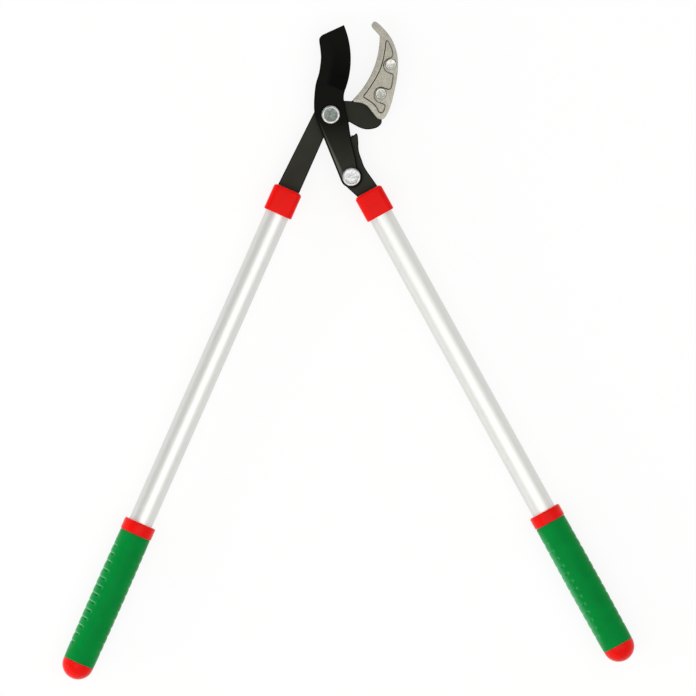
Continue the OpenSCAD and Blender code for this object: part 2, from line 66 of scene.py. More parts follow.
# Levels over the bench, in mm: the handles' axis, undersides of plates and bolt heads, the anvil's faces
AXIS_Z = 17.0
PLATE_Z, HEAD_Z = 14.0, 25.5
ANVIL_Z, ANVIL_TOP = 20.0, 29.5

# The jaw, in mm: centre and radius of the anvil's edge, angles of its heel and tip, and the anvil's depth
JAW_C = np.array((-39.978, 80.566))
JAW_R, ANVIL_DEPTH = 90.4, 36.0
JAW_HEEL, JAW_TIP = math.radians(-44.591), math.radians(-1.073)

# Stations of the anvil's outline: a share from heel to tip, and a depth over the anvil's depth
EDGE_SPAN = (-0.035, 1.036)
OUTLINE_BACK = (
    (1.172, -0.206), (1.216, -0.208), (1.26, -0.117), (1.241, -0.055), (1.186, 0.04), (1.098, 0.18),
    (0.998, 0.33), (0.89, 0.456), (0.782, 0.558), (0.68, 0.63), (0.531, 0.72), (0.372, 0.817),
    (0.244, 0.917), (0.131, 0.997), (0.057, 1.008), (0.025, 0.917), (0.021, 0.817), (0.032, 0.633),
    (0.044, 0.456), (0.032, 0.3), (0.0, 0.178), (-0.048, 0.072),
)
POCKET = (
    (0.106, 0.157), (0.204, 0.149), (0.293, 0.151), (0.382, 0.16), (0.484, 0.171), (0.581, 0.178),
    (0.683, 0.178), (0.793, 0.173), (0.883, 0.174), (0.947, 0.178), (0.97, 0.202), (0.95, 0.259),
    (0.913, 0.31), (0.865, 0.368), (0.813, 0.414), (0.773, 0.43), (0.743, 0.376), (0.718, 0.306),
    (0.681, 0.253), (0.64, 0.238), (0.602, 0.26), (0.572, 0.322), (0.556, 0.405), (0.554, 0.49),
    (0.555, 0.559), (0.541, 0.598), (0.511, 0.62), (0.461, 0.651), (0.417, 0.681), (0.391, 0.69),
    (0.369, 0.666), (0.357, 0.602), (0.351, 0.529), (0.344, 0.446), (0.328, 0.386), (0.298, 0.343),
    (0.26, 0.336), (0.224, 0.364), (0.192, 0.42), (0.173, 0.483), (0.168, 0.556), (0.176, 0.642),
    (0.188, 0.72), (0.19, 0.787), (0.18, 0.822), (0.15, 0.855), (0.118, 0.879), (0.092, 0.862),
    (0.082, 0.803), (0.087, 0.74), (0.101, 0.657), (0.111, 0.559), (0.112, 0.453), (0.109, 0.352),
    (0.103, 0.259),
)
RIVETS = ((0.663, 0.433), (0.273, 0.514))
# Points on the anvil's edge, bores, rim and pocket, the easing of corners and the foot's rounding in mm
EDGE_POINTS, BORE_POINTS = 40, 48
RIM_POINTS, RIM_EASE = 560, 0.7
POCKET_POINTS, POCKET_EASE = 420, 0.5
FOOT_ROUND = 0.5
# The pocket's wall, in mm: steps out from its curve with depths under the face, then
# steps out from its floor with heights over it; the first and last sloping band; and
# how far right the curve faces where the slope, which itself faces left there, is lit
POCKET_LIP = ((0.55, 0.0), (0.5, 0.0), (0.3, 0.08), (-0.1, 0.4))
POCKET_TOE = ((0.2, 0.12), (0.05, 0.0), (0.0, 0.0))
SLOPE, LIT_SIDE = (2, 4), 0.35

# The blade in its open rest, in metres: centre and radius of its edge, the way past the line where its
# grinding ends, the way across its tail from the left edge, and where on that way the edge's roll ends
EDGE_C, EDGE_R = (-0.06929, 0.05734, 0.0), 0.090
GRIND_SIDE = (0.368, 0.93, 0.0)
TAIL_SIDE, TAIL_LINE = (0.909, 0.4167, 0.0), -0.0152
# Where its coat's changes start and end, in metres: the bevel by radius, the grinding and the heel's
# black past the line, the tail's painted reflection along Y, and the painted highlight across the tail
# with its fade along Y
BEVEL = (EDGE_R - 0.0225, EDGE_R - 0.0165)
GRIND_END = (-0.0008, 0.0008)
HEEL_BLACK = (0.012, 0.052)
TAIL_REFLECTION = (-0.006, -0.058)
TAIL_HIGHLIGHT = (TAIL_LINE + 0.0006, TAIL_LINE + 0.0026)
TAIL_HIGHLIGHT_FADE = (-0.004, -0.045)

# The Z of a face's normal is below the first on upright walls,
# above the second on level faces, and below the third on rolls
UPRIGHT, LEVEL, ROLLED = 0.1, 0.999, 0.9995
# Rolled edges: how many widths of room they need, their segments and their roundness
ROLL_ROOM, ROLL_SEGMENTS, ROLL_PROFILE = 1.1, 8, 0.7
# Merging of points in skins, CAD plates and rolled plates, in metres; angles of flat and sharp edges
SKIN_WELD, PLATE_WELD, ROLL_WELD = 1e-7, 2e-6, 1e-6
FLAT_ANGLE, SHARP_ANGLE = math.radians(0.6), math.radians(30)

# Bolts, in mm: the thread with the radius of its tip and its gap to the
# plates, the skin as radii at heights over the plates' underside and the
# head's, and the height and radius from which the head's rim is bright
THREAD_R, THREAD_DEPTH, THREAD_PITCH = 5.0, 0.75, 1.5
THREAD_TIP_R, THREAD_GAP = 4.1, 0.2
SHANK_SKIN = ((0.0, 5.0), (0.0, 5.8), (0.2, 6.0))
HEAD_FOOT, HEAD_EDGE = ((-0.01, 6.0), (0.0, 9.0)), (0.3, 9.3)
HEAD_SKIN = (
    (3.3, 9.3), (3.55, 9.2), (3.75, 8.95), (3.95, 8.2), (4.0, 7.6), (3.97, 7.25), (3.8, 7.0), (3.74, 6.6),
    (3.78, 3.5), (3.8, 0.0),
)
RIM_Z, RIM_R = 2.2, 7.0
# Anvil rivets, in mm: radii at heights over the plates' underside and the anvil's
# face; then the head's bands, the first and last of its lip and the first of its face
RIVET_TAIL = ((-1.6, 0.0), (-1.55, 2.0), (-1.2, 3.6), (-0.6, 4.6), (0.0, 5.0), (0.0, 3.0))
RIVET_HEAD = (
    (0.0, 3.0), (0.0, 5.5), (0.15, 5.6), (1.0, 5.6), (1.3, 5.5), (1.5, 5.2), (1.55, 4.8), (1.5, 4.4),
    (1.36, 4.1), (1.3, 3.7), (1.3, 0.0),
)
RIVET_LIP, RIVET_FACE = (1, 4), 8
# Rolled edges of nuts and washers, in metres
NUT_ROLL, WASHER_ROLL = 0.4 * MM, 0.25 * MM

# Collars, in mm: corner of the section, the strap's slot (half width, half
# thickness, corner, depth, chamfer), steps in across and front to back at
# distances from top and foot, and steps out of the tube's seat at its mouth
COLLAR_CORNER = 6.5
SLOT_W, SLOT_T, SLOT_CORNER, SLOT_DEPTH, SLOT_CHAMFER = 11.9, 3.2, 0.3, 5.0, 0.25
COLLAR_TOP = (
    (0.0, 2.5, 1.3), (0.1, 2.05, 0.95), (0.3, 1.7, 0.7), (0.7, 1.25, 0.45), (1.2, 0.75, 0.25),
    (1.7, 0.35, 0.12), (2.2, 0.1, 0.04), (3.0, 0.0, 0.0),
)
COLLAR_FOOT = ((1.3, 0.0, 0.0), (0.9, 0.06, 0.06), (0.5, 0.22, 0.22), (0.15, 0.55, 0.5), (0.0, 1.1, 0.9))
SEAT_MOUTH = ((0.0, 0.15), (0.3, 0.0))

# Grip cores, in mm: steps in to the sleeve and the dome, the dome's lip as steps in past the
# cover, places of the sleeve past the ring, the ring's lip as steps in from the grip's end and
# from the ring, the ring's rounding and top, the bore's chamfer and its floor past the cover
SLEEVE_STEP, DOME_STEP = 2.0, 0.02
DOME_LIP = ((0.35, 0.0), (0.05, 0.35), (0.0, 0.8))
SLEEVE_START = (1.0, 0.2)
RING_LIP, RING_EDGE = ((0.0, 0.7), (0.25, 0.25)), ((0.7, 0.06), (1.3, 0.0))
RING_ROUND, RING_TOP, BORE_CHAMFER, BORE_FLOOR = 1.8, 2.4, 0.3, 0.2

# Grip covers, in mm: rounding of the ends, its rings, the first even ring,
# the step in to the inner skin; and the power that flattens the swell
COVER_ROUND, COVER_ENDS = 0.8, np.array((0.0, 0.06, 0.2, 0.45, 0.8))
COVER_EVEN, COVER_INNER, SWELL_POWER = 1.2, 1.95, 0.6
# Their ribs: the field's share of the length, its reach round the flank, the share lost
# towards its ends and its soft edge; widths in mm of a groove's lower and upper side
FIELD_SHARE, RIB_REACH, RIB_TAPER, RIB_EDGE = 0.81, math.radians(58), 0.62, math.radians(6)
GROOVE_LOW, GROOVE_HIGH = 1.0, 1.7
# Their painted light, with places and widths along in mm and round in radians: the crests' share of the
# reach on right flanks and their soft edge; the painted highlight of the crest above a groove and the line
# of painted shade in it; the groove's end, a painted highlight; the pit beside the end, painted shade; and
# the stripe, a painted highlight, with its soft edge and the power of its fading
RIGHT_SHARE, CREST_EDGE = 0.45, math.radians(8)
CREST_AT, CREST_W, LINE_AT, LINE_SHARE = 1.4, 0.6, 1.5, 0.35
END_AT, END_W, END_TURN = 0.3, 1.4, math.radians(4)
PIT_AT, PIT_W, PIT_SHARE, PIT_TURN = 0.7, 0.8, 0.84, math.radians(7)
STRIPE_REACH, STRIPE_EDGE, STRIPE_POWER = math.radians(50), math.radians(26), 4
# How strongly each grip shows them: crests, ends, pits, stripe
PAINTED_LIGHT_SHARES = {"left": (0.85, 0.35, -0.7, 0.16), "right": (0.06, 0.4, -0.2, 0.46)}

# Points round the turned and moulded pieces, and rings along the bolts' thread, the dome and the covers
BOLT_SIDES, RIVET_SIDES, CORE_SIDES, COLLAR_SIDES, COVER_SIDES = 72, 64, 96, 160, 160
THREAD_RINGS, DOME_RINGS, COVER_RINGS = 120, 26, 330

# Studio, in metres: half the floor's width, its level, what the lamps face; the camera, its lens in mm
FLOOR_HALF, FLOOR_LEVEL = 8.0, -0.0004
LAMP_AIM = (0.018, -0.24, 0.02)
CAMERA_PLACE = (0.0178, -0.2401, AXIS_Z * MM + 9.5587)
CAMERA_LENS, CAMERA_SENSOR, CAMERA_CLIP = 480.0, 36.0, (0.05, 60.0)
# Lamps: place, width and height in metres, watts, and whether shiny surfaces show
# them; the key lights the left flanks of the grips without a stripe on the tubes
SOFTBOXES = {
    "Overhead softbox": ((0.15, -0.75, 2.6), 4.6, 1.8, 39.0, True),
    "Left key": ((-2.0, -0.3, 0.45), 2.8, 0.6, 21.0, False),
}


def size(name, default, description):
    """A length in metres that the user may change, given in millimetres."""
    return FloatProperty(name=name, description=description, default=default * MM, unit="LENGTH",
                         precision=4)


def tint(name, default, description):
    """A colour as an sRGB hex value."""
    return StringProperty(name=name, description=description, default=default)


class LopperSizes(bpy.types.PropertyGroup):
    """Sizes of the dressed pieces."""
    plate_roll: size("Plate edges", 1.2, "Width of the rolled edges of the steel plates")
    blade_roll: size("Blade edges", 2.2, "Width of the rolled edges of the blade")
    anvil_round: size("Anvil rounding", 0.6, "Radius of the cast anvil's edges")
    pocket_depth: size("Pocket depth", 1.8, "Depth of the pocket in the anvil's face")
    pocket_draft: size("Pocket draft", 0.75, "Width of the sloping wall round the pocket")
    rivet_bore: size("Rivet bore", 6.1, "Diameter of the anvil's rivet holes")
    collar_l: size("Collar length", 28.0, "Length of the collars")
    collar_w: size("Collar width", 30.5, "Width of the collars")
    collar_t: size("Collar thickness", 28.6, "Thickness of the collars, front to back")
    bare_l: size("Bare tube", 348.0, "Bare tube between collar and grip")
    tube_bore: size("Tube seat", 25.1, "Diameter of the seats that the tube goes into")
    ring_l: size("Ring length", 13.0, "Length of the ring above a grip cover")
    ring_d: size("Ring diameter", 34.0, "Diameter of that ring")
    cover_l: size("Cover length", 144.5, "Length of a grip cover")
    grip_d: size("Grip diameter", 34.0, "Greatest diameter of a grip")
    grip_end_d: size("Grip end diameter", 32.6, "Diameter of a grip at the ends of its cover")
    cap_l: size("Round end", 17.6, "Length of the round end past the cover")
    rib_depth: size("Rib depth", 0.45, "Depth of the grooves between the ribs")
    rib_count: IntProperty(name="Ribs", description="Ribs along each side of a cover", default=13, min=4)


class LopperColours(bpy.types.PropertyGroup):
    """Colours of the finishes."""
    plate: tint("Plate coat", "#2B2B23", "Satin powder coat of the plates")
    # Painted highlight along the left edge of the blade's tail
    edge: tint("Rubbed line", "#595A53", "Where the coat is rubbed along the left edge of the tail")
    # Near black of the sheared sides and rolled edges: partly their rough coat, partly painted shade
    side: tint("Plate sides", "#0B0B09", "Coat on the sheared sides of plates and blade")
    blade: tint("Blade coat", "#0F100B", "Non-stick coat of the blade")
    # Painted reflection: the lighter tone down the blade's tail
    tail: tint("Blade tail", "#303129", "The same coat, thinner and lighter at the end of the tail")
    anvil: tint("Cast aluminium", "#A8A598", "Tumbled casting of the anvil")
    # Painted shade: the pocket's wall where it faces away from the light, and the rivet heads' lips
    recess: tint("Recess", "#3A372F", "Wall of the anvil's pocket, left as cast")
    pocket: tint("Pocket floor", "#A9A597", "Floor of the anvil's pocket, a little warmer")
    draft: tint("Lit recess", "#78756B", "The same wall where it faces the window light")
    tube: tint("Tube", "#EBEBE7", "Satin anodised aluminium")
    red: tint("Red plastic", "#E40A02", "Moulded collars and grip ends")
    green: tint("Green grip", "#007C31", "Soft covers of the grips")
    # Painted highlight on the ribs' crests, the grooves' ends and the left flanks' stripe
    painted_light: tint("Rubbed ribs", "#5DB583", "Crests of the covers' ribs where hands have rubbed them")
    sheen: tint("Grip sheen", "#E1FFEA", "Pale sheen on the flanks of the covers")
    pivot: tint("Main bolt", "#7C827C", "Zinc plated head of the main pivot")
    link: tint("Link bolt", "#F2F8F5", "Zinc plated head of the link pivot")
    rim: tint("Bolt rims", "#F2F2EE", "Bright turned rims of the bolt heads")
    rivet: tint("Rivet", "#FFFBC0", "Plain steel rivets")
    worn_rivet: tint("Lower rivet", "#BCBBB2", "The duller rivet near the anvil's heel")
    nut: tint("Nuts", "#A9ABA9", "Zinc plated nuts and washers")
    bronze: tint("Slip washers", "#B09A5A", "Bronze slip washers")
    plug: tint("Tang plug", "#3A3A3A", "Moulded plugs in the tubes")
    floor: tint("Floor", "#FCFCFA", "Pale studio floor")


def linear(hex_colour):
    """Linear RGBA of an sRGB hex value: the sRGB curve undone channel by channel."""
    c = np.array([int(hex_colour[i:i + 2], 16) for i in (1, 3, 5)]) / 255
    c = np.where(c <= 0.04045, c / 12.92, ((c + 0.055) / 1.055) ** 2.4)
    return (*c.tolist(), 1.0)


def shades(colour, *factors):
    """The linear colour made lighter or darker by each factor."""
    return [(*(min(1.0, v * factor) for v in colour[:3]), 1.0) for factor in factors]


def add(tree, kind, settings=None, *values, **inputs):
    """Add a node with its settings. The values go to its inputs in order, the others by name with _ for
    a space: a socket, or the first output in use of a node, is linked, and anything else is set."""
    node = tree.nodes.new(kind)
    for key, value in (settings or {}).items():
        setattr(node, key, value)
    sockets = [s for s in node.inputs if s.enabled]
    named = {s.name.replace(" ", "_"): s for s in sockets}
    for socket, value in [*zip(sockets, values), *((named[key], value) for key, value in inputs.items())]:
        if isinstance(value, bpy.types.Node):
            value = next(s for s in value.outputs if s.enabled)
        if isinstance(value, bpy.types.NodeSocket):
            tree.links.new(value, socket)
        else:
            socket.default_value = value
    return node


def per_mm(size_mm):
    """Texture scale at which one feature of the pattern takes the given millimetres."""
    return 1 / (size_mm * MM)


def coated_steel(tree, colour, shine, rough):
    """Powder coated steel: a black skin with a fine orange peel, a little patchy in tone and shine."""
    place = add(tree, "ShaderNodeTexCoord").outputs["Object"]
    patches = add(tree, "ShaderNodeTexNoise", Vector=place, Scale=per_mm(14), Detail=3.0)
    peel = add(tree, "ShaderNodeTexNoise", Vector=place, Scale=per_mm(1.2), Detail=2.0)
    bump = add(tree, "ShaderNodeBump", Height=peel, Strength=0.12, Distance=0.2 * MM)
    tone = add(tree, "ShaderNodeMix", RGBA, patches, *shades(colour, 0.74, 1.25))
    dull = add(tree, "ShaderNodeMapRange", Value=patches, To_Min=rough - 0.05, To_Max=rough + 0.05)
    return add(tree, "ShaderNodeBsdfPrincipled", Base_Color=tone, Roughness=dull, Specular_IOR_Level=shine,
               Normal=bump)


def coated_blade(tree, colour, tail, painted_light):
    """Non-stick coated blade steel: blackest on the ground bevel near its heel, which shows
    fine arcs beside the edge and ends at a line across the blade; down the tail a painted
    reflection makes it lighter, and a painted highlight runs along the tail's left edge."""
    place = add(tree, "ShaderNodeTexCoord").outputs["Object"]
    down = add(tree, "ShaderNodeSeparateXYZ", Vector=place).outputs["Y"]
    flat = add(tree, "ShaderNodeVectorMath", MULTIPLY, place, (1.0, 1.0, 0.0))
    radius = add(tree, "ShaderNodeVectorMath", DISTANCE, flat, EDGE_C)
    offset = add(tree, "ShaderNodeVectorMath", {"operation": "SUBTRACT"}, flat, EDGE_C)
    beyond = add(tree, "ShaderNodeVectorMath", DOT, offset, GRIND_SIDE)
    inside = add(tree, "ShaderNodeVectorMath", DOT, flat, TAIL_SIDE)
    inner = add(tree, "ShaderNodeMapRange", {}, radius, *BEVEL)
    upper = add(tree, "ShaderNodeMapRange", {}, beyond, *GRIND_END)
    ground = add(tree, "ShaderNodeMath", MULTIPLY, inner, upper)
    heel = add(tree, "ShaderNodeMapRange", {}, beyond, *HEEL_BLACK, 1.0, 0.0)
    dark = add(tree, "ShaderNodeMath", MULTIPLY, ground, heel)
    # Painted reflection: the coat turns lighter down the tail
    lighter_down = add(tree, "ShaderNodeMapRange", {}, down, *TAIL_REFLECTION)
    cloud = add(tree, "ShaderNodeTexNoise", Vector=place, Scale=per_mm(9), Detail=3.0)
    plain = add(tree, "ShaderNodeMix", RGBA, cloud, *shades(colour, 0.74, 1.25))
    lower = add(tree, "ShaderNodeMix", RGBA, cloud, *shades(tail, 0.86, 1.14))
    body = add(tree, "ShaderNodeMix", RGBA, lighter_down, plain, lower)
    tone = add(tree, "ShaderNodeMix", RGBA, dark, body, *shades(colour, 0.1))
    # Painted highlight along the tail's left edge, fading down the tail
    near = add(tree, "ShaderNodeMapRange", {"interpolation_type": "SMOOTHSTEP"}, inside, *TAIL_HIGHLIGHT, 1.0, 0.0)
    fade = add(tree, "ShaderNodeMapRange", {}, down, *TAIL_HIGHLIGHT_FADE)
    tail_highlight = add(tree, "ShaderNodeMath", MULTIPLY, near, fade)
    tone = add(tree, "ShaderNodeMix", RGBA, tail_highlight, tone, painted_light)
    # Grinding arcs 0.5 mm apart, coarser than real grit so that they show
    arcs = add(tree, "ShaderNodeTexNoise", {"noise_dimensions": "1D"}, W=radius, Scale=per_mm(0.5))
    lines = add(tree, "ShaderNodeMath", MULTIPLY, arcs, ground)
    bump = add(tree, "ShaderNodeBump", Height=lines, Strength=0.15, Distance=0.1 * MM)
    rough = add(tree, "ShaderNodeMapRange", Value=cloud, To_Min=0.42, To_Max=0.52)
    return add(tree, "ShaderNodeBsdfPrincipled", Base_Color=tone, Roughness=rough, Specular_IOR_Level=0.04,
               Normal=bump)


def cast_aluminium(tree, colour, rough):
    """Aluminium casting: matt grey with patches and spots, coarser than real ones so that they show."""
    place = add(tree, "ShaderNodeTexCoord").outputs["Object"]
    grain = add(tree, "ShaderNodeTexNoise", Vector=place, Scale=per_mm(1.7), Detail=2.0)
    patches = add(tree, "ShaderNodeTexNoise", Vector=place, Scale=per_mm(7), Detail=3.0)
    mixed = add(tree, "ShaderNodeMix", {}, 0.2, grain, patches)
    tone = add(tree, "ShaderNodeMix", RGBA, mixed, *shades(colour, 0.5, 1.45))
    bump = add(tree, "ShaderNodeBump", Height=grain, Strength=0.25, Distance=0.2 * MM)
    return add(tree, "ShaderNodeBsdfPrincipled", Base_Color=tone, Roughness=rough, Metallic=0.7, Normal=bump)


def anodised_tube(tree, colour, side):
    """Drawn aluminium tube, satin anodised: bright, with faint drawing lines and a soft, wide shine."""
    along = handle(side)[1][0]
    place = add(tree, "ShaderNodeTexCoord").outputs["Object"]
    # Drawing lines 0.8 mm wide and 30 times as long, coarser than real ones so that they show
    turned = add(tree, "ShaderNodeMapping", {"vector_type": "TEXTURE"}, Vector=place,
                 Rotation=(0.0, 0.0, math.atan2(along[1], along[0])), Scale=(30.0, 1.0, 1.0))
    lines = add(tree, "ShaderNodeTexNoise", Vector=turned, Scale=per_mm(0.8), Detail=3.0)
    tone = add(tree, "ShaderNodeMix", RGBA, lines, *shades(colour, 0.90, 1.05))
    rough = add(tree, "ShaderNodeMapRange", Value=lines, To_Min=0.44, To_Max=0.52)
    bump = add(tree, "ShaderNodeBump", Height=lines, Strength=0.05, Distance=0.1 * MM)
    return add(tree, "ShaderNodeBsdfPrincipled", Base_Color=tone, Roughness=rough, Metallic=0.8, Normal=bump)


def moulded_red(tree, colour):
    """Moulded ABS: strong red, semi-gloss, with a soft glow on its flanks and the faint sink and grain of
    an injection moulding."""
    place = add(tree, "ShaderNodeTexCoord").outputs["Object"]
    sink = add(tree, "ShaderNodeTexNoise", Vector=place, Scale=per_mm(11), Detail=2.0)
    grain = add(tree, "ShaderNodeTexNoise", Vector=place, Scale=per_mm(0.7), Detail=2.0)
    tone = add(tree, "ShaderNodeMix", RGBA, sink, *shades(colour, 0.86, 1.07))
    rough = add(tree, "ShaderNodeMapRange", Value=sink, To_Min=0.28, To_Max=0.36)
    bump = add(tree, "ShaderNodeBump", Height=grain, Strength=0.03, Distance=0.1 * MM)
    return add(tree, "ShaderNodeBsdfPrincipled", Base_Color=tone, Roughness=rough, Specular_IOR_Level=0.1,
               Sheen_Weight=0.6, Sheen_Roughness=0.3, Normal=bump)


def soft_green(tree, colour, painted_light, sheen):
    """Thermoplastic rubber: deep green and satin, with a leathery moulded grain and a pale sheen on its
    flanks; the covers' attribute paints a highlight where it is above 0, as on the ribs' crests, and shade
    where it is below 0, as in their grooves."""
    place = add(tree, "ShaderNodeTexCoord").outputs["Object"]
    patches = add(tree, "ShaderNodeTexNoise", Vector=place, Scale=per_mm(18), Detail=3.0)
    grain = add(tree, "ShaderNodeTexVoronoi", Vector=place, Scale=per_mm(1.0))
    tone = add(tree, "ShaderNodeMix", RGBA, patches, *shades(colour, 0.83, 1.20))
    # Painted light from the covers' attribute: below 0 painted shade, above 0 painted highlight
    ribs = add(tree, "ShaderNodeAttribute", {"attribute_name": "painted_light"}).outputs["Fac"]
    groove = add(tree, "ShaderNodeMapRange", Value=ribs, From_Min=0.0, From_Max=-1.0)
    tone = add(tree, "ShaderNodeMix", RGBA, groove, tone, *shades(colour, 0.4))
    crest = add(tree, "ShaderNodeMapRange", Value=ribs)
    tone = add(tree, "ShaderNodeMix", RGBA, crest, tone, painted_light)
    rough = add(tree, "ShaderNodeMapRange", Value=patches, To_Min=0.4, To_Max=0.5)
    bump = add(tree, "ShaderNodeBump", Height=grain, Strength=0.12, Distance=0.2 * MM)
    return add(tree, "ShaderNodeBsdfPrincipled", Base_Color=tone, Roughness=rough, Specular_IOR_Level=0.03,
               Sheen_Weight=1.0, Sheen_Roughness=0.3, Sheen_Tint=sheen, Normal=bump)


def plain_metal(tree, colour, rough, dent_mm, dent):
    """Plated or bare steel or bronze: a metal shine broken by dents and dull spots of the given size."""
    place = add(tree, "ShaderNodeTexCoord").outputs["Object"]
    dents = add(tree, "ShaderNodeTexNoise", Vector=place, Scale=per_mm(dent_mm), Detail=3.0)
    tone = add(tree, "ShaderNodeMix", RGBA, dents, *shades(colour, 0.1, 1.8))
    dull = add(tree, "ShaderNodeMapRange", Value=dents, To_Min=rough - 0.06, To_Max=rough + 0.08)
    bump = add(tree, "ShaderNodeBump", Height=dents, Strength=dent, Distance=0.3 * MM)
    return add(tree, "ShaderNodeBsdfPrincipled", Base_Color=tone, Roughness=dull, Metallic=1.0, Normal=bump)


def moulded_plug(tree, colour):
    """Moulded nylon of the plugs: dull dark grey with a fine grain."""
    place = add(tree, "ShaderNodeTexCoord").outputs["Object"]
    grain = add(tree, "ShaderNodeTexNoise", Vector=place, Scale=per_mm(1.5), Detail=2.0)
    tone = add(tree, "ShaderNodeMix", RGBA, grain, *shades(colour, 0.74, 1.25))
    return add(tree, "ShaderNodeBsdfPrincipled", Base_Color=tone, Roughness=0.6, IOR=1.53)


def studio_floor(tree, colour):
    """Matt white sweep: camera, glossy and transmission rays see mostly its own white, and a little
    of its shadow; in reflections the white is dimmer, as the sweep is away from the lamps."""
    ray = add(tree, "ShaderNodeLightPath").outputs
    seen = add(tree, "ShaderNodeMath", MAXIMUM, ray["Is Camera Ray"], ray["Is Glossy Ray"])
    seen = add(tree, "ShaderNodeMath", MAXIMUM, seen, ray["Is Transmission Ray"])
    share = add(tree, "ShaderNodeMath", MULTIPLY, seen, 0.85)
    matt = add(tree, "ShaderNodeBsdfDiffuse", Color=colour)
    level = add(tree, "ShaderNodeMapRange", Value=ray["Is Camera Ray"], To_Min=0.84, To_Max=1.0)
    white = add(tree, "ShaderNodeEmission", Color=linear(WHITE), Strength=level)
    return add(tree, "ShaderNodeMixShader", {}, share, matt, white)


# Each finish: what makes it, its name, its colours, and its other values:
# shine and roughness of a coat, roughness of a casting, roughness and the
# size in mm and strength of the dents of a metal, and the side of a tube
FINISHES = {
    "plate": (coated_steel, "Powder coated steel, satin black", ["plate"], [0.12, 0.55]),
    "side": (coated_steel, "Powder coated steel, sheared sides", ["side"], [0.05, 0.6]),
    "blade": (coated_blade, "Non-stick coated blade steel", ["blade", "tail", "edge"], []),
    "cast": (cast_aluminium, "Cast aluminium, tumbled", ["anvil"], [0.42]),
    "recess": (cast_aluminium, "Cast aluminium, painted shade", ["recess"], [0.7]),
    "draft": (cast_aluminium, "Cast aluminium, painted shade, bright", ["draft"], [0.6]),
    "pocket": (cast_aluminium, "Cast aluminium, tumbled, warm", ["pocket"], [0.42]),
    "pivot_bolt": (plain_metal, "Zinc plated steel, pivot_bolt", ["pivot"], [0.36, 2.4, 0.6]),
    "link_bolt": (plain_metal, "Zinc plated steel, link_bolt", ["link"], [0.36, 2.4, 0.6]),
    "rim": (plain_metal, "Zinc plated steel, turned rim", ["rim"], [0.38, 3.0, 0.05]),
    "rivet": (plain_metal, "Plain steel, headed", ["rivet"], [0.34, 1.6, 0.3]),
    "worn_rivet": (plain_metal, "Plain steel, headed, dull", ["worn_rivet"], [0.5, 1.6, 0.15]),
    "zinc": (plain_metal, "Zinc plated steel", ["nut"], [0.32, 2.0, 0.1]),
    "bronze": (plain_metal, "Bronze, plain", ["bronze"], [0.35, 2.0, 0.1]),
    "left_tube": (anodised_tube, "Anodised aluminium tube, left", ["tube"], ["left"]),
    "right_tube": (anodised_tube, "Anodised aluminium tube, right", ["tube"], ["right"]),
    "red": (moulded_red, "Moulded ABS, red", ["red"], []),
    "green": (soft_green, "Thermoplastic rubber, green", ["green", "painted_light", "sheen"], []),
    "plug": (moulded_plug, "Moulded nylon, dark", ["plug"], []),
    "floor": (studio_floor, "Studio sweep, matt white", ["floor"], []),
}


def finish(key):
    """The material of a finish, made when it is first asked for."""
    make, name, tints, values = FINISHES[key]
    material = bpy.data.materials.get(name)
    if material is None:
        colours = [linear(getattr(bpy.context.scene.lopper_colours, each)) for each in tints]
        material = bpy.data.materials.new(name)
        material.use_nodes = True
        tree = material.node_tree
        tree.nodes.clear()
        add(tree, "ShaderNodeOutputMaterial", Surface=make(tree, *colours, *values))
    return material


def mm(properties, name):
    """A size property in millimetres."""
    return getattr(properties, name) / MM


def handle(side):
    """Top of a handle's collar, and its directions along, across and up, from the record's tube mount."""
    sizes = bpy.context.scene.lopper_sizes
    mount = next(m for m in frame["record"]["mounts"] if m["name"] == side + "_tube_clip")
    along = np.array(mount["axis"], float)
    middle = np.array(mount["pos_m"], float) / MM
    start = middle - along * (mm(sizes, "collar_l") + mm(sizes, "bare_l") / 2)
    return start, np.stack((along, (-along[1], along[0], 0.0), (0.0, 0.0, 1.0)))


def on_handle(points, side):
    """Points given along, across and up from a handle's start, put in the frame."""
    start, directions = handle(side)
    return start + points @ directions


def around(count):
    """Even angles round a circle."""
    return np.linspace(0, 2 * np.pi, count, endpoint=False)


def bell(distance, width):
    """Gaussian bell: 1 at its middle, and 1/e a width away."""
    return np.exp(-(distance / width) ** 2)


def grid_faces(grid, loop):
    """Quads between the rows and columns of a grid whose columns close, and whose rows close if loop."""
    rows, columns = grid.shape[:2]
    i = np.arange(rows if loop else rows - 1)[:, None]
    j = np.arange(columns)[None, :]
    k, m = (i + 1) % rows, (j + 1) % columns
    return np.stack((i * columns + j, i * columns + m, k * columns + m, k * columns + j), -1).reshape(-1, 4)


def put(name, points, faces, materials, body, replaced, sharp, tones=None, flats=0, painted_light=None):
    """Make a piece from points in mm and faces: doubles merged, faces turned outwards, edges
    past the angle sharp. The tones are the faces' material numbers, the last faces, as many as
    flats, are shaded flat, and painted_light is a value for each point that its material reads
    as painted highlight above 0 and painted shade below 0."""
    mesh = bpy.data.meshes.new(name)
    mesh.from_pydata((points.reshape(-1, 3) * MM).tolist(), [], [list(f) for f in faces])
    for material in materials:
        mesh.materials.append(material)
    if tones is not None:
        mesh.polygons.foreach_set("material_index", np.asarray(tones, np.int32))
    mesh.polygons.foreach_set("use_smooth", np.arange(len(faces)) < len(faces) - flats)
    if painted_light is not None:
        layer = mesh.attributes.new("painted_light", "FLOAT", "POINT")
        layer.data.foreach_set("value", np.asarray(painted_light, np.float32).ravel())
    skin = bmesh.new()
    skin.from_mesh(mesh)
    bmesh.ops.remove_doubles(skin, verts=skin.verts, dist=SKIN_WELD)
    bmesh.ops.recalc_face_normals(skin, faces=skin.faces)
    open_edges = sum(not e.is_manifold for e in skin.edges)
    skin.to_mesh(mesh)
    skin.free()
    if open_edges:
        raise RuntimeError(f"{name}: {open_edges} edges of the skin aren't closed")
    mesh.set_sharp_from_angle(angle=math.radians(sharp))
    place_piece(name, mesh, body, replaced)


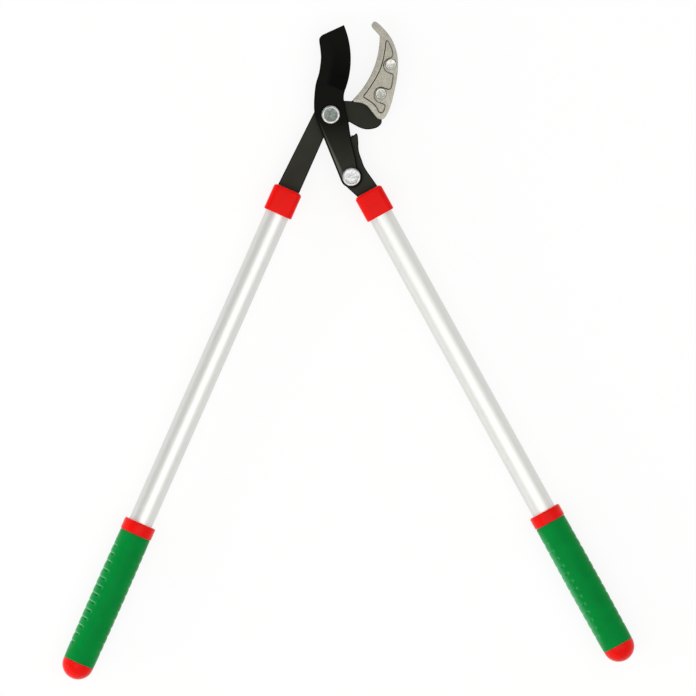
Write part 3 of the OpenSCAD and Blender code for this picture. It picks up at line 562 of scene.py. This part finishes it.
def place_piece(name, mesh, body, replaced):
    """Link a mesh as a piece at the origin, on its body and the node that it stands for."""
    piece = bpy.data.objects.new(name, mesh)
    bpy.context.scene.collection.objects.link(piece)
    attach(piece, body)
    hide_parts(*replaced)
    return piece


def dress(node, material):
    """Give a CAD node one material."""
    mesh = frame["nodes"][node].data
    mesh.materials.clear()
    mesh.materials.append(material)


def edge_room(loops):
    """Room beside each edge of the flat faces: the radius of the largest
    circle that touches the edge's middle and holds no corner, which is a
    corner's distance squared over twice the part of it square to the edge."""
    start = np.array([l.vert.co for l in loops])
    end = np.array([l.link_loop_next.vert.co for l in loops])
    up = np.array([l.face.normal.z for l in loops])
    way = (end - start)[:, :2] / np.linalg.norm((end - start)[:, :2], axis=1)[:, None]
    inward = np.stack((-way[:, 1], way[:, 0]), 1) * np.sign(up)[:, None]
    middle = ((start + end) / 2)[:, :2]
    apart = start[None, :, :2] - middle[:, None]
    ahead = np.einsum("ijk,ik->ij", apart, inward)
    least = 1e-5
    return np.where(ahead > least, np.sum(apart ** 2, -1) / (2 * np.maximum(ahead, least)), np.inf).min(1)


def soft_copy(node, name, width, materials, body):
    """Copy of a CAD plate with its triangles merged to whole faces, and the edges
    between flat faces and walls rolled over by the width where there is room. The
    first material goes on the flat faces, the last on walls and rolls, where its
    near black is partly the rough sheared side and partly painted shade."""
    mesh = frame["nodes"][node].data.copy()
    mesh.name = name
    for layer in [a for a in mesh.attributes if a.name == "custom_normal"]:
        mesh.attributes.remove(layer)
    plate = bmesh.new()
    plate.from_mesh(mesh)
    bmesh.ops.remove_doubles(plate, verts=plate.verts, dist=PLATE_WELD)
    bmesh.ops.dissolve_limit(plate, angle_limit=FLAT_ANGLE, verts=plate.verts, edges=plate.edges)
    walls = [f for f in plate.faces if abs(f.normal.z) < UPRIGHT]
    tall = {f for f in walls if np.ptp([v.co.z for v in f.verts]) > 2 * width}
    flats = [f for f in plate.faces if abs(f.normal.z) > LEVEL]
    loops = [l for f in flats for l in f.loops if l.link_loop_radial_next.face in tall]
    rolled = [l.edge for l, room in zip(loops, edge_room(loops)) if room > ROLL_ROOM * width]
    roll = bmesh.ops.bevel(plate, geom=rolled, offset=width, offset_type="OFFSET", segments=ROLL_SEGMENTS,
                           profile=ROLL_PROFILE, affect="EDGES", clamp_overlap=False)["faces"]
    bmesh.ops.remove_doubles(plate, verts=plate.verts, dist=ROLL_WELD)
    roll = [f for f in roll if f.is_valid]
    plate.normal_update()
    walls = [f for f in plate.faces if abs(f.normal.z) < UPRIGHT]
    # Walls and rolls take the near black last material: partly the rough sheared side, partly painted shade
    for face in [f for f in roll if abs(f.normal.z) < ROLLED] + walls:
        face.material_index = len(materials) - 1
    mesh.materials.clear()
    for material in materials:
        mesh.materials.append(material)
    plate.to_mesh(mesh)
    plate.free()
    mesh.shade_smooth()
    mesh.set_sharp_from_angle(angle=SHARP_ANGLE)
    piece = place_piece(name, mesh, body, [node])
    piece.modifiers.new("Flat faces flat", "WEIGHTED_NORMAL").keep_sharp = True


def revolved(profile, columns):
    """Surface of revolution: each point (distance along, radius) is turned about the axis."""
    turn = around(columns)
    x = np.repeat(profile[:, :1], columns, 1)
    return np.stack((x, profile[:, 1:] * np.cos(turn), profile[:, 1:] * np.sin(turn)), -1)


def quarter(start, end, steps=6):
    """Quarter ellipse between two points: it leaves along the first axis and arrives along the second."""
    start, end = np.asarray(start, float), np.asarray(end, float)
    t = np.linspace(0, np.pi / 2, steps)[:, None]
    return start + (end - start) * np.concatenate((np.sin(t), 1 - np.cos(t)), 1)


def smooth(points, closed, steps=8):
    """Cubic curve through the points: each piece's slopes follow the neighbouring points."""
    b = np.asarray(points, float)
    if closed:
        a, c, d = np.roll(b, 1, 0), np.roll(b, -1, 0), np.roll(b, -2, 0)
    else:
        a, c = np.vstack((b[:1], b[:-2])), b[1:]
        d = np.vstack((b[2:], b[-1:]))
        b = b[:-1]
    t = (np.arange(steps) / steps)[None, :, None]
    a, b, c, d = (v[:, None, :] for v in (a, b, c, d))
    curve = b + ((c - a) * t + (2 * a - 5 * b + 4 * c - d) * t ** 2 + (3 * b - a - 3 * c + d) * t ** 3) / 2
    return curve.reshape(-1, 2) if closed else np.vstack((curve.reshape(-1, 2), points[-1]))


def even(curve, count, blur):
    """A closed curve at even steps, its corners eased by a Gaussian of the given width in mm."""
    loop = np.vstack((curve, curve[:1]))
    run = np.concatenate(([0.0], np.cumsum(np.linalg.norm(np.diff(loop, axis=0), axis=1))))
    at = np.linspace(0, run[-1], count, endpoint=False)
    z = np.interp(at, run, loop[:, 0]) + 1j * np.interp(at, run, loop[:, 1])
    waves = np.fft.fftfreq(count, run[-1] / count)
    z = np.fft.ifft(np.fft.fft(z) * np.exp(-0.5 * (2 * np.pi * waves * blur) ** 2))
    return np.stack((z.real, z.imag), 1)


def outward(curve):
    """Unit normals of a closed curve, pointing away from what it encloses."""
    ahead = np.roll(curve, -1, 0) - np.roll(curve, 1, 0)
    normal = np.stack((ahead[:, 1], -ahead[:, 0]), 1) / np.linalg.norm(ahead, axis=1)[:, None]
    area = np.sum(curve[:, 0] * np.roll(curve[:, 1], -1) - curve[:, 1] * np.roll(curve[:, 0], -1))
    return normal * np.sign(area)


def carried(curve, profile):
    """Profile carried along a closed curve: each profile point is (step out from the curve, height)."""
    profile = np.asarray(profile, float)
    flat = curve[None] + profile[:, :1, None] * outward(curve)[None]
    heights = np.repeat(profile[:, 1:, None], len(curve), 1)
    return np.concatenate((flat, heights), -1)


def jaw(stations):
    """Points of the jaw: a share along the closed edge, then a share of the anvil's depth behind it."""
    s = np.asarray(stations, float)
    angle = JAW_HEEL + s[:, 0] * (JAW_TIP - JAW_HEEL)
    radius = JAW_R + s[:, 1] * ANVIL_DEPTH
    return JAW_C + radius[:, None] * np.stack((np.cos(angle), np.sin(angle)), 1)


def flat_fill(loops, starts):
    """Triangles that fill a flat face between loops: the first is its rim, the others are its holes."""
    index = np.concatenate([start + np.arange(len(loop)) for loop, start in zip(loops, starts)])
    return index[np.array(tessellate_polygon([[Vector(p) for p in loop] for loop in loops]))].tolist()


def round_box(turn, half_w, half_t, corner):
    """Radius of a box with round corners in each direction: to a flat side, or to the corner's circle."""
    c, s = np.abs(np.cos(turn)), np.abs(np.sin(turn))
    a, b = half_w - corner, half_t - corner
    to_side, to_top = half_w / np.maximum(c, 1e-9), half_t / np.maximum(s, 1e-9)
    reach = c * a + s * b
    to_corner = reach + np.sqrt(np.maximum(reach ** 2 - (a * a + b * b - corner * corner), 0.0))
    return np.where(to_side * s <= b, to_side, np.where(to_top * c <= a, to_top, to_corner))


class LOPPER_OT_plates(bpy.types.Operator):
    """Dress the hook arm and the lever arm: stamped plates with soft edges, powder coated."""
    bl_idname = "lopper.plates"
    bl_label = "Steel plates"

    def execute(self, context):
        roll, coats = context.scene.lopper_sizes.plate_roll, [finish("plate"), finish("side")]
        soft_copy("hook_arm", "hook_plate", roll, coats, "hook_side")
        soft_copy("lever_arm", "lever_plate", roll, coats, "lever_side")
        return {"FINISHED"}


class LOPPER_OT_blade(bpy.types.Operator):
    """Dress the blade: ground steel with a black non-stick coat."""
    bl_idname = "lopper.blade"
    bl_label = "Blade"

    def execute(self, context):
        roll, coats = context.scene.lopper_sizes.blade_roll, [finish("blade"), finish("side")]
        soft_copy("blade", "coated_blade", roll, coats, "blade")
        return {"FINISHED"}


class LOPPER_OT_anvil(bpy.types.Operator):
    """Build the cast anvil: a rounded profile carried along its outline, a sloping one along its pocket."""
    bl_idname = "lopper.anvil"
    bl_label = "Anvil"

    def execute(self, context):
        sizes = context.scene.lopper_sizes
        metals = [finish(key) for key in ("cast", "recess", "draft", "pocket")]
        cast, recess, draft, warm = range(len(metals))
        top, bottom, round_r = ANVIL_TOP, ANVIL_Z, mm(sizes, "anvil_round")
        edge = jaw([(share, 0.0) for share in np.linspace(*EDGE_SPAN, EDGE_POINTS)])
        rim = even(np.vstack((edge, smooth(jaw(OUTLINE_BACK), False))), RIM_POINTS, RIM_EASE)
        side = np.vstack((quarter((-FOOT_ROUND, bottom), (0.0, bottom + FOOT_ROUND)),
                          quarter((-round_r, top), (0.0, top - round_r))[::-1]))
        pocket = even(smooth(jaw(POCKET), True), POCKET_POINTS, POCKET_EASE)
        toe, floor = -mm(sizes, "pocket_draft"), top - mm(sizes, "pocket_depth")
        dip = [(out, top - depth) for out, depth in POCKET_LIP]
        dip += [(toe + out, floor + height) for out, height in POCKET_TOE]
        turn = around(BORE_POINTS)
        bore = mm(sizes, "rivet_bore") / 2 * np.stack((np.cos(turn), np.sin(turn)), 1)
        parts = [carried(rim, side), carried(pocket, dip)]
        parts += [carried(centre + bore, [(0.0, bottom), (0.0, top)]) for centre in jaw(RIVETS)]
        points = np.concatenate([p.reshape(-1, 3) for p in parts])
        starts = np.concatenate(([0], np.cumsum([p.shape[0] * p.shape[1] for p in parts])))
        last = [start + p.shape[1] * (p.shape[0] - 1) for p, start in zip(parts, starts)]
        quads = [grid_faces(p, False) + start for p, start in zip(parts, starts)]
        # The face round pocket and rivets, the underside, and the pocket's floor
        fills = [
            flat_fill([parts[0][-1], parts[1][0], parts[2][-1], parts[3][-1]],
                      [last[0], starts[1], *last[2:]]),
            flat_fill([parts[0][0], parts[2][0], parts[3][0]], [starts[0], starts[2], starts[3]]),
            flat_fill([parts[1][-1]], [last[1]]),
        ]
        # The slope is bright where it is lit and else dark;
        # the lip is like the casting, the toe like the floor
        row, column = np.divmod(np.arange(len(quads[1])), len(pocket))
        slope = np.where(outward(pocket)[:, 0] > LIT_SIDE, draft, recess)[column]
        tones = [np.full(len(q), cast) for q in quads]
        tones[1] = np.where(row < SLOPE[0], cast, np.where(row <= SLOPE[1], slope, warm))
        tones += [np.full(len(fill), tone) for fill, tone in zip(fills, (cast, cast, warm))]
        faces = np.concatenate(quads).tolist() + sum(fills, [])
        put("cast_anvil", points, faces, metals, "hook_side", ["anvil"], sharp=40.0,
            tones=np.concatenate(tones), flats=sum(map(len, fills)))
        return {"FINISHED"}


class LOPPER_OT_fasteners(bpy.types.Operator):
    """Build the two bolts with their threads, and dress rivets, washers and nuts."""
    bl_idname = "lopper.fasteners"
    bl_label = "Bolts, nuts and rivets"

    def bolt(self, name, centre, body):
        """Bolt as a radius over height and turn: the thread's is R - depth * ridge(height / pitch - turn),
        where the ridge goes from 1 to 0 and back once a turn, and the rest is turned from its profile."""
        turn = around(BOLT_SIDES)[None, :]
        z = np.linspace(0.0, PLATE_Z - THREAD_GAP, THREAD_RINGS)[:, None]
        ridge = np.abs((z / THREAD_PITCH - turn / (2 * np.pi)) % 1.0 - 0.5) * 2
        thread = np.minimum(THREAD_R - THREAD_DEPTH * ridge, THREAD_TIP_R + z)
        head = np.concatenate((HEAD_FOOT, quarter(HEAD_FOOT[-1], HEAD_EDGE, 4)[1:], HEAD_SKIN))
        profile = np.concatenate((np.add(SHANK_SKIN, (PLATE_Z, 0.0)), np.add(head, (HEAD_Z, 0.0))))
        radius = np.concatenate((np.zeros_like(turn), thread, np.repeat(profile[:, 1:], turn.size, 1)))
        height = np.repeat(np.concatenate((z[:1], z, profile[:, :1])), turn.size, 1)
        grid = np.stack((centre[0] + radius * np.cos(turn), centre[1] + radius * np.sin(turn), height), -1)
        rim = (height[:-1] >= HEAD_Z + RIM_Z) & (radius[1:] >= RIM_R)
        put(name + "_turned", grid, grid_faces(grid, False), [finish(name), finish("rim")], body,
            [name], sharp=50.0, tones=rim.ravel())

    def rivet(self, centre):
        """Rivet turned from its profile: a low tail, the shank, and a flat head with a raised rim."""
        profile = np.concatenate((np.add(RIVET_TAIL, (PLATE_Z, 0.0)), np.add(RIVET_HEAD, (ANVIL_TOP, 0.0))))
        turned = revolved(profile, RIVET_SIDES)
        return np.stack((centre[0] + turned[..., 1], centre[1] + turned[..., 2], turned[..., 0]), -1)

    def execute(self, context):
        link = np.array(next(j for j in frame["joints"] if j["name"] == "lever_pivot")["pos_m"]) / MM
        self.bolt("pivot_bolt", (0.0, 0.0), "hook_side")
        self.bolt("link_bolt", link, "lever_side")
        for side in SIDES:
            dress(side + "_tang_rivet", finish("rivet"))
        metals = [finish(key) for key in ("rivet", "worn_rivet", "recess")]
        bright, dull, lip_shade = range(len(metals))
        upper, lower = (self.rivet(centre) for centre in jaw(RIVETS))
        one = grid_faces(upper, False)
        faces = np.concatenate((one, one + upper[..., 0].size))
        # Each head has painted shade under its lip, and the lower rivet is bright on its rim only
        row = np.arange(len(one)) // upper.shape[1] - len(RIVET_TAIL)
        lip = (row >= RIVET_LIP[0]) & (row <= RIVET_LIP[1])
        tones = [np.where(lip, lip_shade, bright), np.where(lip, lip_shade, np.where(row < RIVET_FACE, bright, dull))]
        put("headed_rivets", np.concatenate((upper, lower)), faces, metals, "hook_side",
            ["anvil_rivets"], sharp=40.0, tones=np.concatenate(tones))
        zinc = [finish("zinc")]
        for joint, body in (("pivot", "hook_side"), ("link", "lever_side")):
            soft_copy(joint + "_nut", joint + "_lock_nut", NUT_ROLL, zinc, body)
            soft_copy(joint + "_washer", joint + "_plain_washer", WASHER_ROLL, zinc, body)
            dress(joint + "_slip_washer", finish("bronze"))
        return {"FINISHED"}


class LOPPER_OT_collars(bpy.types.Operator):
    """Build the collars: round-cornered box sections along the handle, with strap slot and tube seat."""
    bl_idname = "lopper.collars"
    bl_label = "Collars"

    def execute(self, context):
        sizes = context.scene.lopper_sizes
        length, seat = mm(sizes, "collar_l"), mm(sizes, "tube_bore") / 2
        half_w, half_t = mm(sizes, "collar_w") / 2, mm(sizes, "collar_t") / 2
        bend = math.atan2(SLOT_T, SLOT_W)
        corners = np.array((bend, np.pi - bend, np.pi + bend, -bend)) % (2 * np.pi)
        turn = np.unique(np.concatenate((around(COLLAR_SIDES), corners)))
        slot = round_box(turn, SLOT_W, SLOT_T, SLOT_CORNER)
        skin = [*COLLAR_TOP, *((length - x, u, v) for x, u, v in COLLAR_FOOT)]
        # Each ring's place on the handle and its radii: up the slot, down the skin, up the tube's seat
        rings = [(SLOT_DEPTH, slot), (SLOT_CHAMFER, slot), (0.0, slot + SLOT_CHAMFER)]
        rings += [(x, round_box(turn, half_w - u, half_t - v, COLLAR_CORNER)) for x, u, v in skin]
        rings += [(length - x, np.full_like(turn, seat + step)) for x, step in SEAT_MOUTH]
        rings += [(SLOT_DEPTH, np.full_like(turn, seat))]
        x, radius = np.array([ring[0] for ring in rings])[:, None], np.stack([ring[1] for ring in rings])
        grid = np.stack((np.repeat(x, turn.size, 1), radius * np.cos(turn), radius * np.sin(turn)), -1)
        for side in SIDES:
            put(side + "_moulded_collar", on_handle(grid, side), grid_faces(grid, True), [finish("red")],
                BODY_OF[side], [side + "_collar"], sharp=45.0)
        return {"FINISHED"}


class LOPPER_OT_tubes(bpy.types.Operator):
    """Dress the drawn tubes and the plugs in their ends."""
    bl_idname = "lopper.tubes"
    bl_label = "Tubes"

    def execute(self, context):
        for side in SIDES:
            dress(side + "_tube", finish(side + "_tube"))
            dress(side + "_tang_plug", finish("plug"))
        return {"FINISHED"}


class LOPPER_OT_grips(bpy.types.Operator):
    """Build the grips: red cores turned from a profile, and green covers with grooves on both flanks."""
    bl_idname = "lopper.grips"
    bl_label = "Grips"

    def core(self, sizes):
        """Turned profile from the round end's pole over dome, sleeve and ring, and back along the bore."""
        start = mm(sizes, "collar_l") + mm(sizes, "bare_l")
        cover = start + mm(sizes, "ring_l")
        end = cover + mm(sizes, "cover_l")
        end_r, ring_r, bore = (mm(sizes, name) / 2 for name in ("grip_end_d", "ring_d", "tube_bore"))
        sleeve, dome_r = end_r - SLEEVE_STEP, end_r - DOME_STEP
        t = np.linspace(0, np.pi / 2, DOME_RINGS)
        dome = np.stack((end + mm(sizes, "cap_l") - end_r + dome_r * np.cos(t), dome_r * np.sin(t)), 1)
        lips = [(end + x, end_r - step) for x, step in DOME_LIP] + [(end, sleeve)]
        lips += [(cover + x, sleeve) for x in SLEEVE_START]
        lips += [(cover - x, end_r - step) for x, step in RING_LIP]
        lips += [(cover - x, ring_r - step) for x, step in RING_EDGE]
        arc = RING_ROUND * np.stack((1 - np.sin(t[::4]), np.cos(t[::4]) - 1), 1) + (start, ring_r)
        inner = [(start, ring_r - RING_TOP), (start, bore + BORE_CHAMFER), (start + BORE_CHAMFER, bore),
                 (end + BORE_FLOOR, bore), (end + BORE_FLOOR, 0.0)]
        return np.concatenate((dome, lips, arc, inner))

    def ribs(self, sizes, x, turn):
        """Of each point of a cover: the distance along from the nearest groove's middle, the angle
        from the middle of its flank, and the angle where that groove ends: the reach times the root
        of 1 - taper * middle squared, with the groove's middle from -1 to 1 along the field."""
        length, count = mm(sizes, "cover_l"), sizes.rib_count
        field = FIELD_SHARE * length
        pitch = field / count
        phase = (x - (length - field) / 2) / pitch - 0.5
        groove = np.clip(np.round(phase), 0, count - 1)
        middle = (2 * groove + 1) / count - 1
        reach = RIB_REACH * np.sqrt(1 - RIB_TAPER * middle ** 2)
        return (phase - groove) * pitch, np.arcsin(np.abs(np.sin(turn))), reach

    def marks(self, sizes, x, turn):
        """Painted light in a cover's colour, as bells over the distance from a groove and from
        where it ends: a painted highlight on the crest beside each groove, bent towards its
        ends, with a line of painted shade; a painted highlight at the groove's end; painted
        shade in the pit beside it; and a painted highlight as a stripe along the flank that
        fades towards the cover's ends. The last three are on the left flank only."""
        away, flank, reach = self.ribs(sizes, x, turn)
        left = np.cos(turn) < 0
        marked = np.clip((reach * np.where(left, 1.0, RIGHT_SHARE) - flank) / CREST_EDGE, 0, 1)
        sweep = away + CREST_AT - (flank / reach) ** 2
        crest = marked * (bell(sweep, CREST_W) - LINE_SHARE * bell(sweep - LINE_AT, CREST_W))
        end = left * bell(flank - reach, END_TURN) * bell(away - END_AT, END_W)
        pit = left * bell(flank - PIT_SHARE * reach, PIT_TURN) * bell(away - PIT_AT, PIT_W)
        fade = 1 - (2 * x / mm(sizes, "cover_l") - 1) ** STRIPE_POWER
        stripe = left * np.clip((STRIPE_REACH - flank) / STRIPE_EDGE, 0, 1) * fade
        return np.stack((crest, end, pit, stripe))

    def cover(self, sizes):
        """Radius r(x, turn) = swell(x) - depth * groove(x) * flank(turn): bells for
        grooves at even steps, cut off at the edge of a lens-shaped field on each
        flank; the inner skin is a cylinder just round the sleeve. Its marks come with it."""
        start = mm(sizes, "collar_l") + mm(sizes, "bare_l") + mm(sizes, "ring_l")
        length, end_r, most = mm(sizes, "cover_l"), mm(sizes, "grip_end_d") / 2, mm(sizes, "grip_d") / 2
        even_rings = np.linspace(COVER_EVEN, length - COVER_EVEN, COVER_RINGS)
        x = np.concatenate((COVER_ENDS, even_rings, (length - COVER_ENDS)[::-1]))[:, None]
        turn = around(COVER_SIDES)[None, :]
        swell = end_r + (most - end_r) * np.sin(np.pi * np.clip(x / length, 0, 1)) ** SWELL_POWER
        short = np.maximum(COVER_ROUND - np.minimum(x, length - x), 0)
        swell = swell - COVER_ROUND + np.sqrt(np.maximum(COVER_ROUND ** 2 - short ** 2, 0.0))
        away, flank, reach = self.ribs(sizes, x, turn)
        inside = np.clip((reach - flank) / RIB_EDGE + 0.5, 0, 1)
        groove = bell(away, np.where(away > 0, GROOVE_LOW, GROOVE_HIGH))
        radius = swell - mm(sizes, "rib_depth") * groove * inside ** 2 * (3 - 2 * inside)
        radius = np.concatenate((radius, np.full((2, turn.size), end_r - COVER_INNER)))
        along = np.repeat(start + np.concatenate((x, [[length], [0.0]])), turn.size, 1)
        skin = np.stack((along, radius * np.cos(turn), radius * np.sin(turn)), -1)
        return skin, np.pad(self.marks(sizes, x, turn), ((0, 0), (0, 2), (0, 0)))

    def execute(self, context):
        sizes, red, green = context.scene.lopper_sizes, finish("red"), finish("green")
        core = revolved(self.core(sizes), CORE_SIDES)
        cover, marks = self.cover(sizes)
        for side in SIDES:
            put(side + "_moulded_core", on_handle(core, side), grid_faces(core, False), [red],
                BODY_OF[side], [side + "_grip_core"], sharp=45.0)
            put(side + "_ribbed_cover", on_handle(cover, side), grid_faces(cover, True), [green],
                BODY_OF[side], [side + "_grip_cover"], sharp=45.0,
                painted_light=np.tensordot(PAINTED_LIGHT_SHARES[side], marks, 1))
        return {"FINISHED"}


class LOPPER_OT_stage(bpy.types.Operator):
    """Set the white floor, soft studio light and the camera straight above the lopper."""
    bl_idname = "lopper.stage"
    bl_label = "Studio"

    def floor(self, scene):
        """Square floor just under the lopper."""
        mesh = bpy.data.meshes.new("studio_floor")
        corners = np.array(((-1, -1), (1, -1), (1, 1), (-1, 1))) * FLOOR_HALF
        mesh.from_pydata([(*corner, FLOOR_LEVEL) for corner in corners], [], [(0, 1, 2, 3)])
        mesh.materials.append(finish("floor"))
        floor = bpy.data.objects.new("studio_floor", mesh)
        scene.collection.objects.link(floor)

    def tent(self, scene):
        """World as in a light tent: on the left white low down and grey
        above, brighter towards the grips, and on the right pale grey."""
        world = bpy.data.worlds.new("Studio tent")
        world.use_nodes = True
        scene.world = world
        tree = world.node_tree
        tree.nodes.clear()
        place = add(tree, "ShaderNodeTexCoord").outputs["Generated"]
        way = add(tree, "ShaderNodeSeparateXYZ", Vector=place).outputs
        left = add(tree, "ShaderNodeMapRange", Value=way["Z"], From_Min=0.08, From_Max=0.22, To_Min=1.15,
                   To_Max=0.42)
        near = add(tree, "ShaderNodeMapRange", Value=way["Y"], From_Min=-0.1, From_Max=-0.5, To_Min=1.0,
                   To_Max=1.7)
        left = add(tree, "ShaderNodeMath", MULTIPLY, left, near)
        right = add(tree, "ShaderNodeMapRange", Value=way["Z"], From_Min=0.0, From_Max=0.9, To_Min=0.74,
                    To_Max=0.62)
        across = add(tree, "ShaderNodeMapRange", Value=way["X"], From_Min=-0.3, From_Max=0.3)
        level = add(tree, "ShaderNodeMix", {}, across, left, right)
        tent = add(tree, "ShaderNodeBackground", Color=linear(WHITE), Strength=level)
        add(tree, "ShaderNodeOutputWorld", Surface=tent)

    def softbox(self, scene, name, place, width, height, watts, gloss):
        """Rectangular soft lamp that faces the lopper, and shows in shiny surfaces or not."""
        lamp = bpy.data.lights.new(name, "AREA")
        lamp.shape = "RECTANGLE"
        lamp.size, lamp.size_y = width, height
        lamp.energy = watts
        lamp_object = bpy.data.objects.new(name, lamp)
        lamp_object.location = place
        lamp_object.rotation_euler = (Vector(LAMP_AIM) - Vector(place)).to_track_quat("-Z", "Y").to_euler()
        lamp_object.visible_camera, lamp_object.visible_glossy = False, gloss
        scene.collection.objects.link(lamp_object)

    def execute(self, context):
        scene = context.scene
        scene.view_settings.view_transform = "Standard"
        self.floor(scene)
        self.tent(scene)
        for name, values in SOFTBOXES.items():
            self.softbox(scene, name, *values)
        lens = bpy.data.cameras.new("Photo camera")
        lens.lens, lens.sensor_width = CAMERA_LENS, CAMERA_SENSOR
        lens.clip_start, lens.clip_end = CAMERA_CLIP
        camera = bpy.data.objects.new("Photo camera", lens)
        camera.location = CAMERA_PLACE
        scene.collection.objects.link(camera)
        scene.camera = camera
        return {"FINISHED"}


OPERATORS = (
    LOPPER_OT_stage, LOPPER_OT_plates, LOPPER_OT_blade, LOPPER_OT_anvil, LOPPER_OT_fasteners,
    LOPPER_OT_collars, LOPPER_OT_tubes, LOPPER_OT_grips,
)


class LOPPER_PT_panel(bpy.types.Panel):
    """Lists the lopper's sizes, colours and steps."""
    bl_idname = "LOPPER_PT_panel"
    bl_label = "Anvil lopper"
    bl_space_type = "VIEW_3D"
    bl_region_type = "UI"
    bl_category = "Lopper"

    def draw(self, context):
        for group in (context.scene.lopper_sizes, context.scene.lopper_colours):
            box = self.layout.box()
            for key in group.__annotations__:
                box.prop(group, key)
        for operator in OPERATORS:
            self.layout.operator(operator.bl_idname)


CLASSES = (LopperSizes, LopperColours, *OPERATORS, LOPPER_PT_panel)


def register():
    for cls in CLASSES:
        bpy.utils.register_class(cls)
    bpy.types.Scene.lopper_sizes = PointerProperty(type=LopperSizes)
    bpy.types.Scene.lopper_colours = PointerProperty(type=LopperColours)


def unregister():
    del bpy.types.Scene.lopper_colours
    del bpy.types.Scene.lopper_sizes
    for cls in reversed(CLASSES):
        bpy.utils.unregister_class(cls)


def main():
    """Register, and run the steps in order."""
    register()
    for step in ("stage", "plates", "blade", "anvil", "fasteners", "collars", "tubes", "grips"):
        getattr(bpy.ops.lopper, step)()
    bpy.context.view_layer.update()


if __name__ == "__main__":
    main()
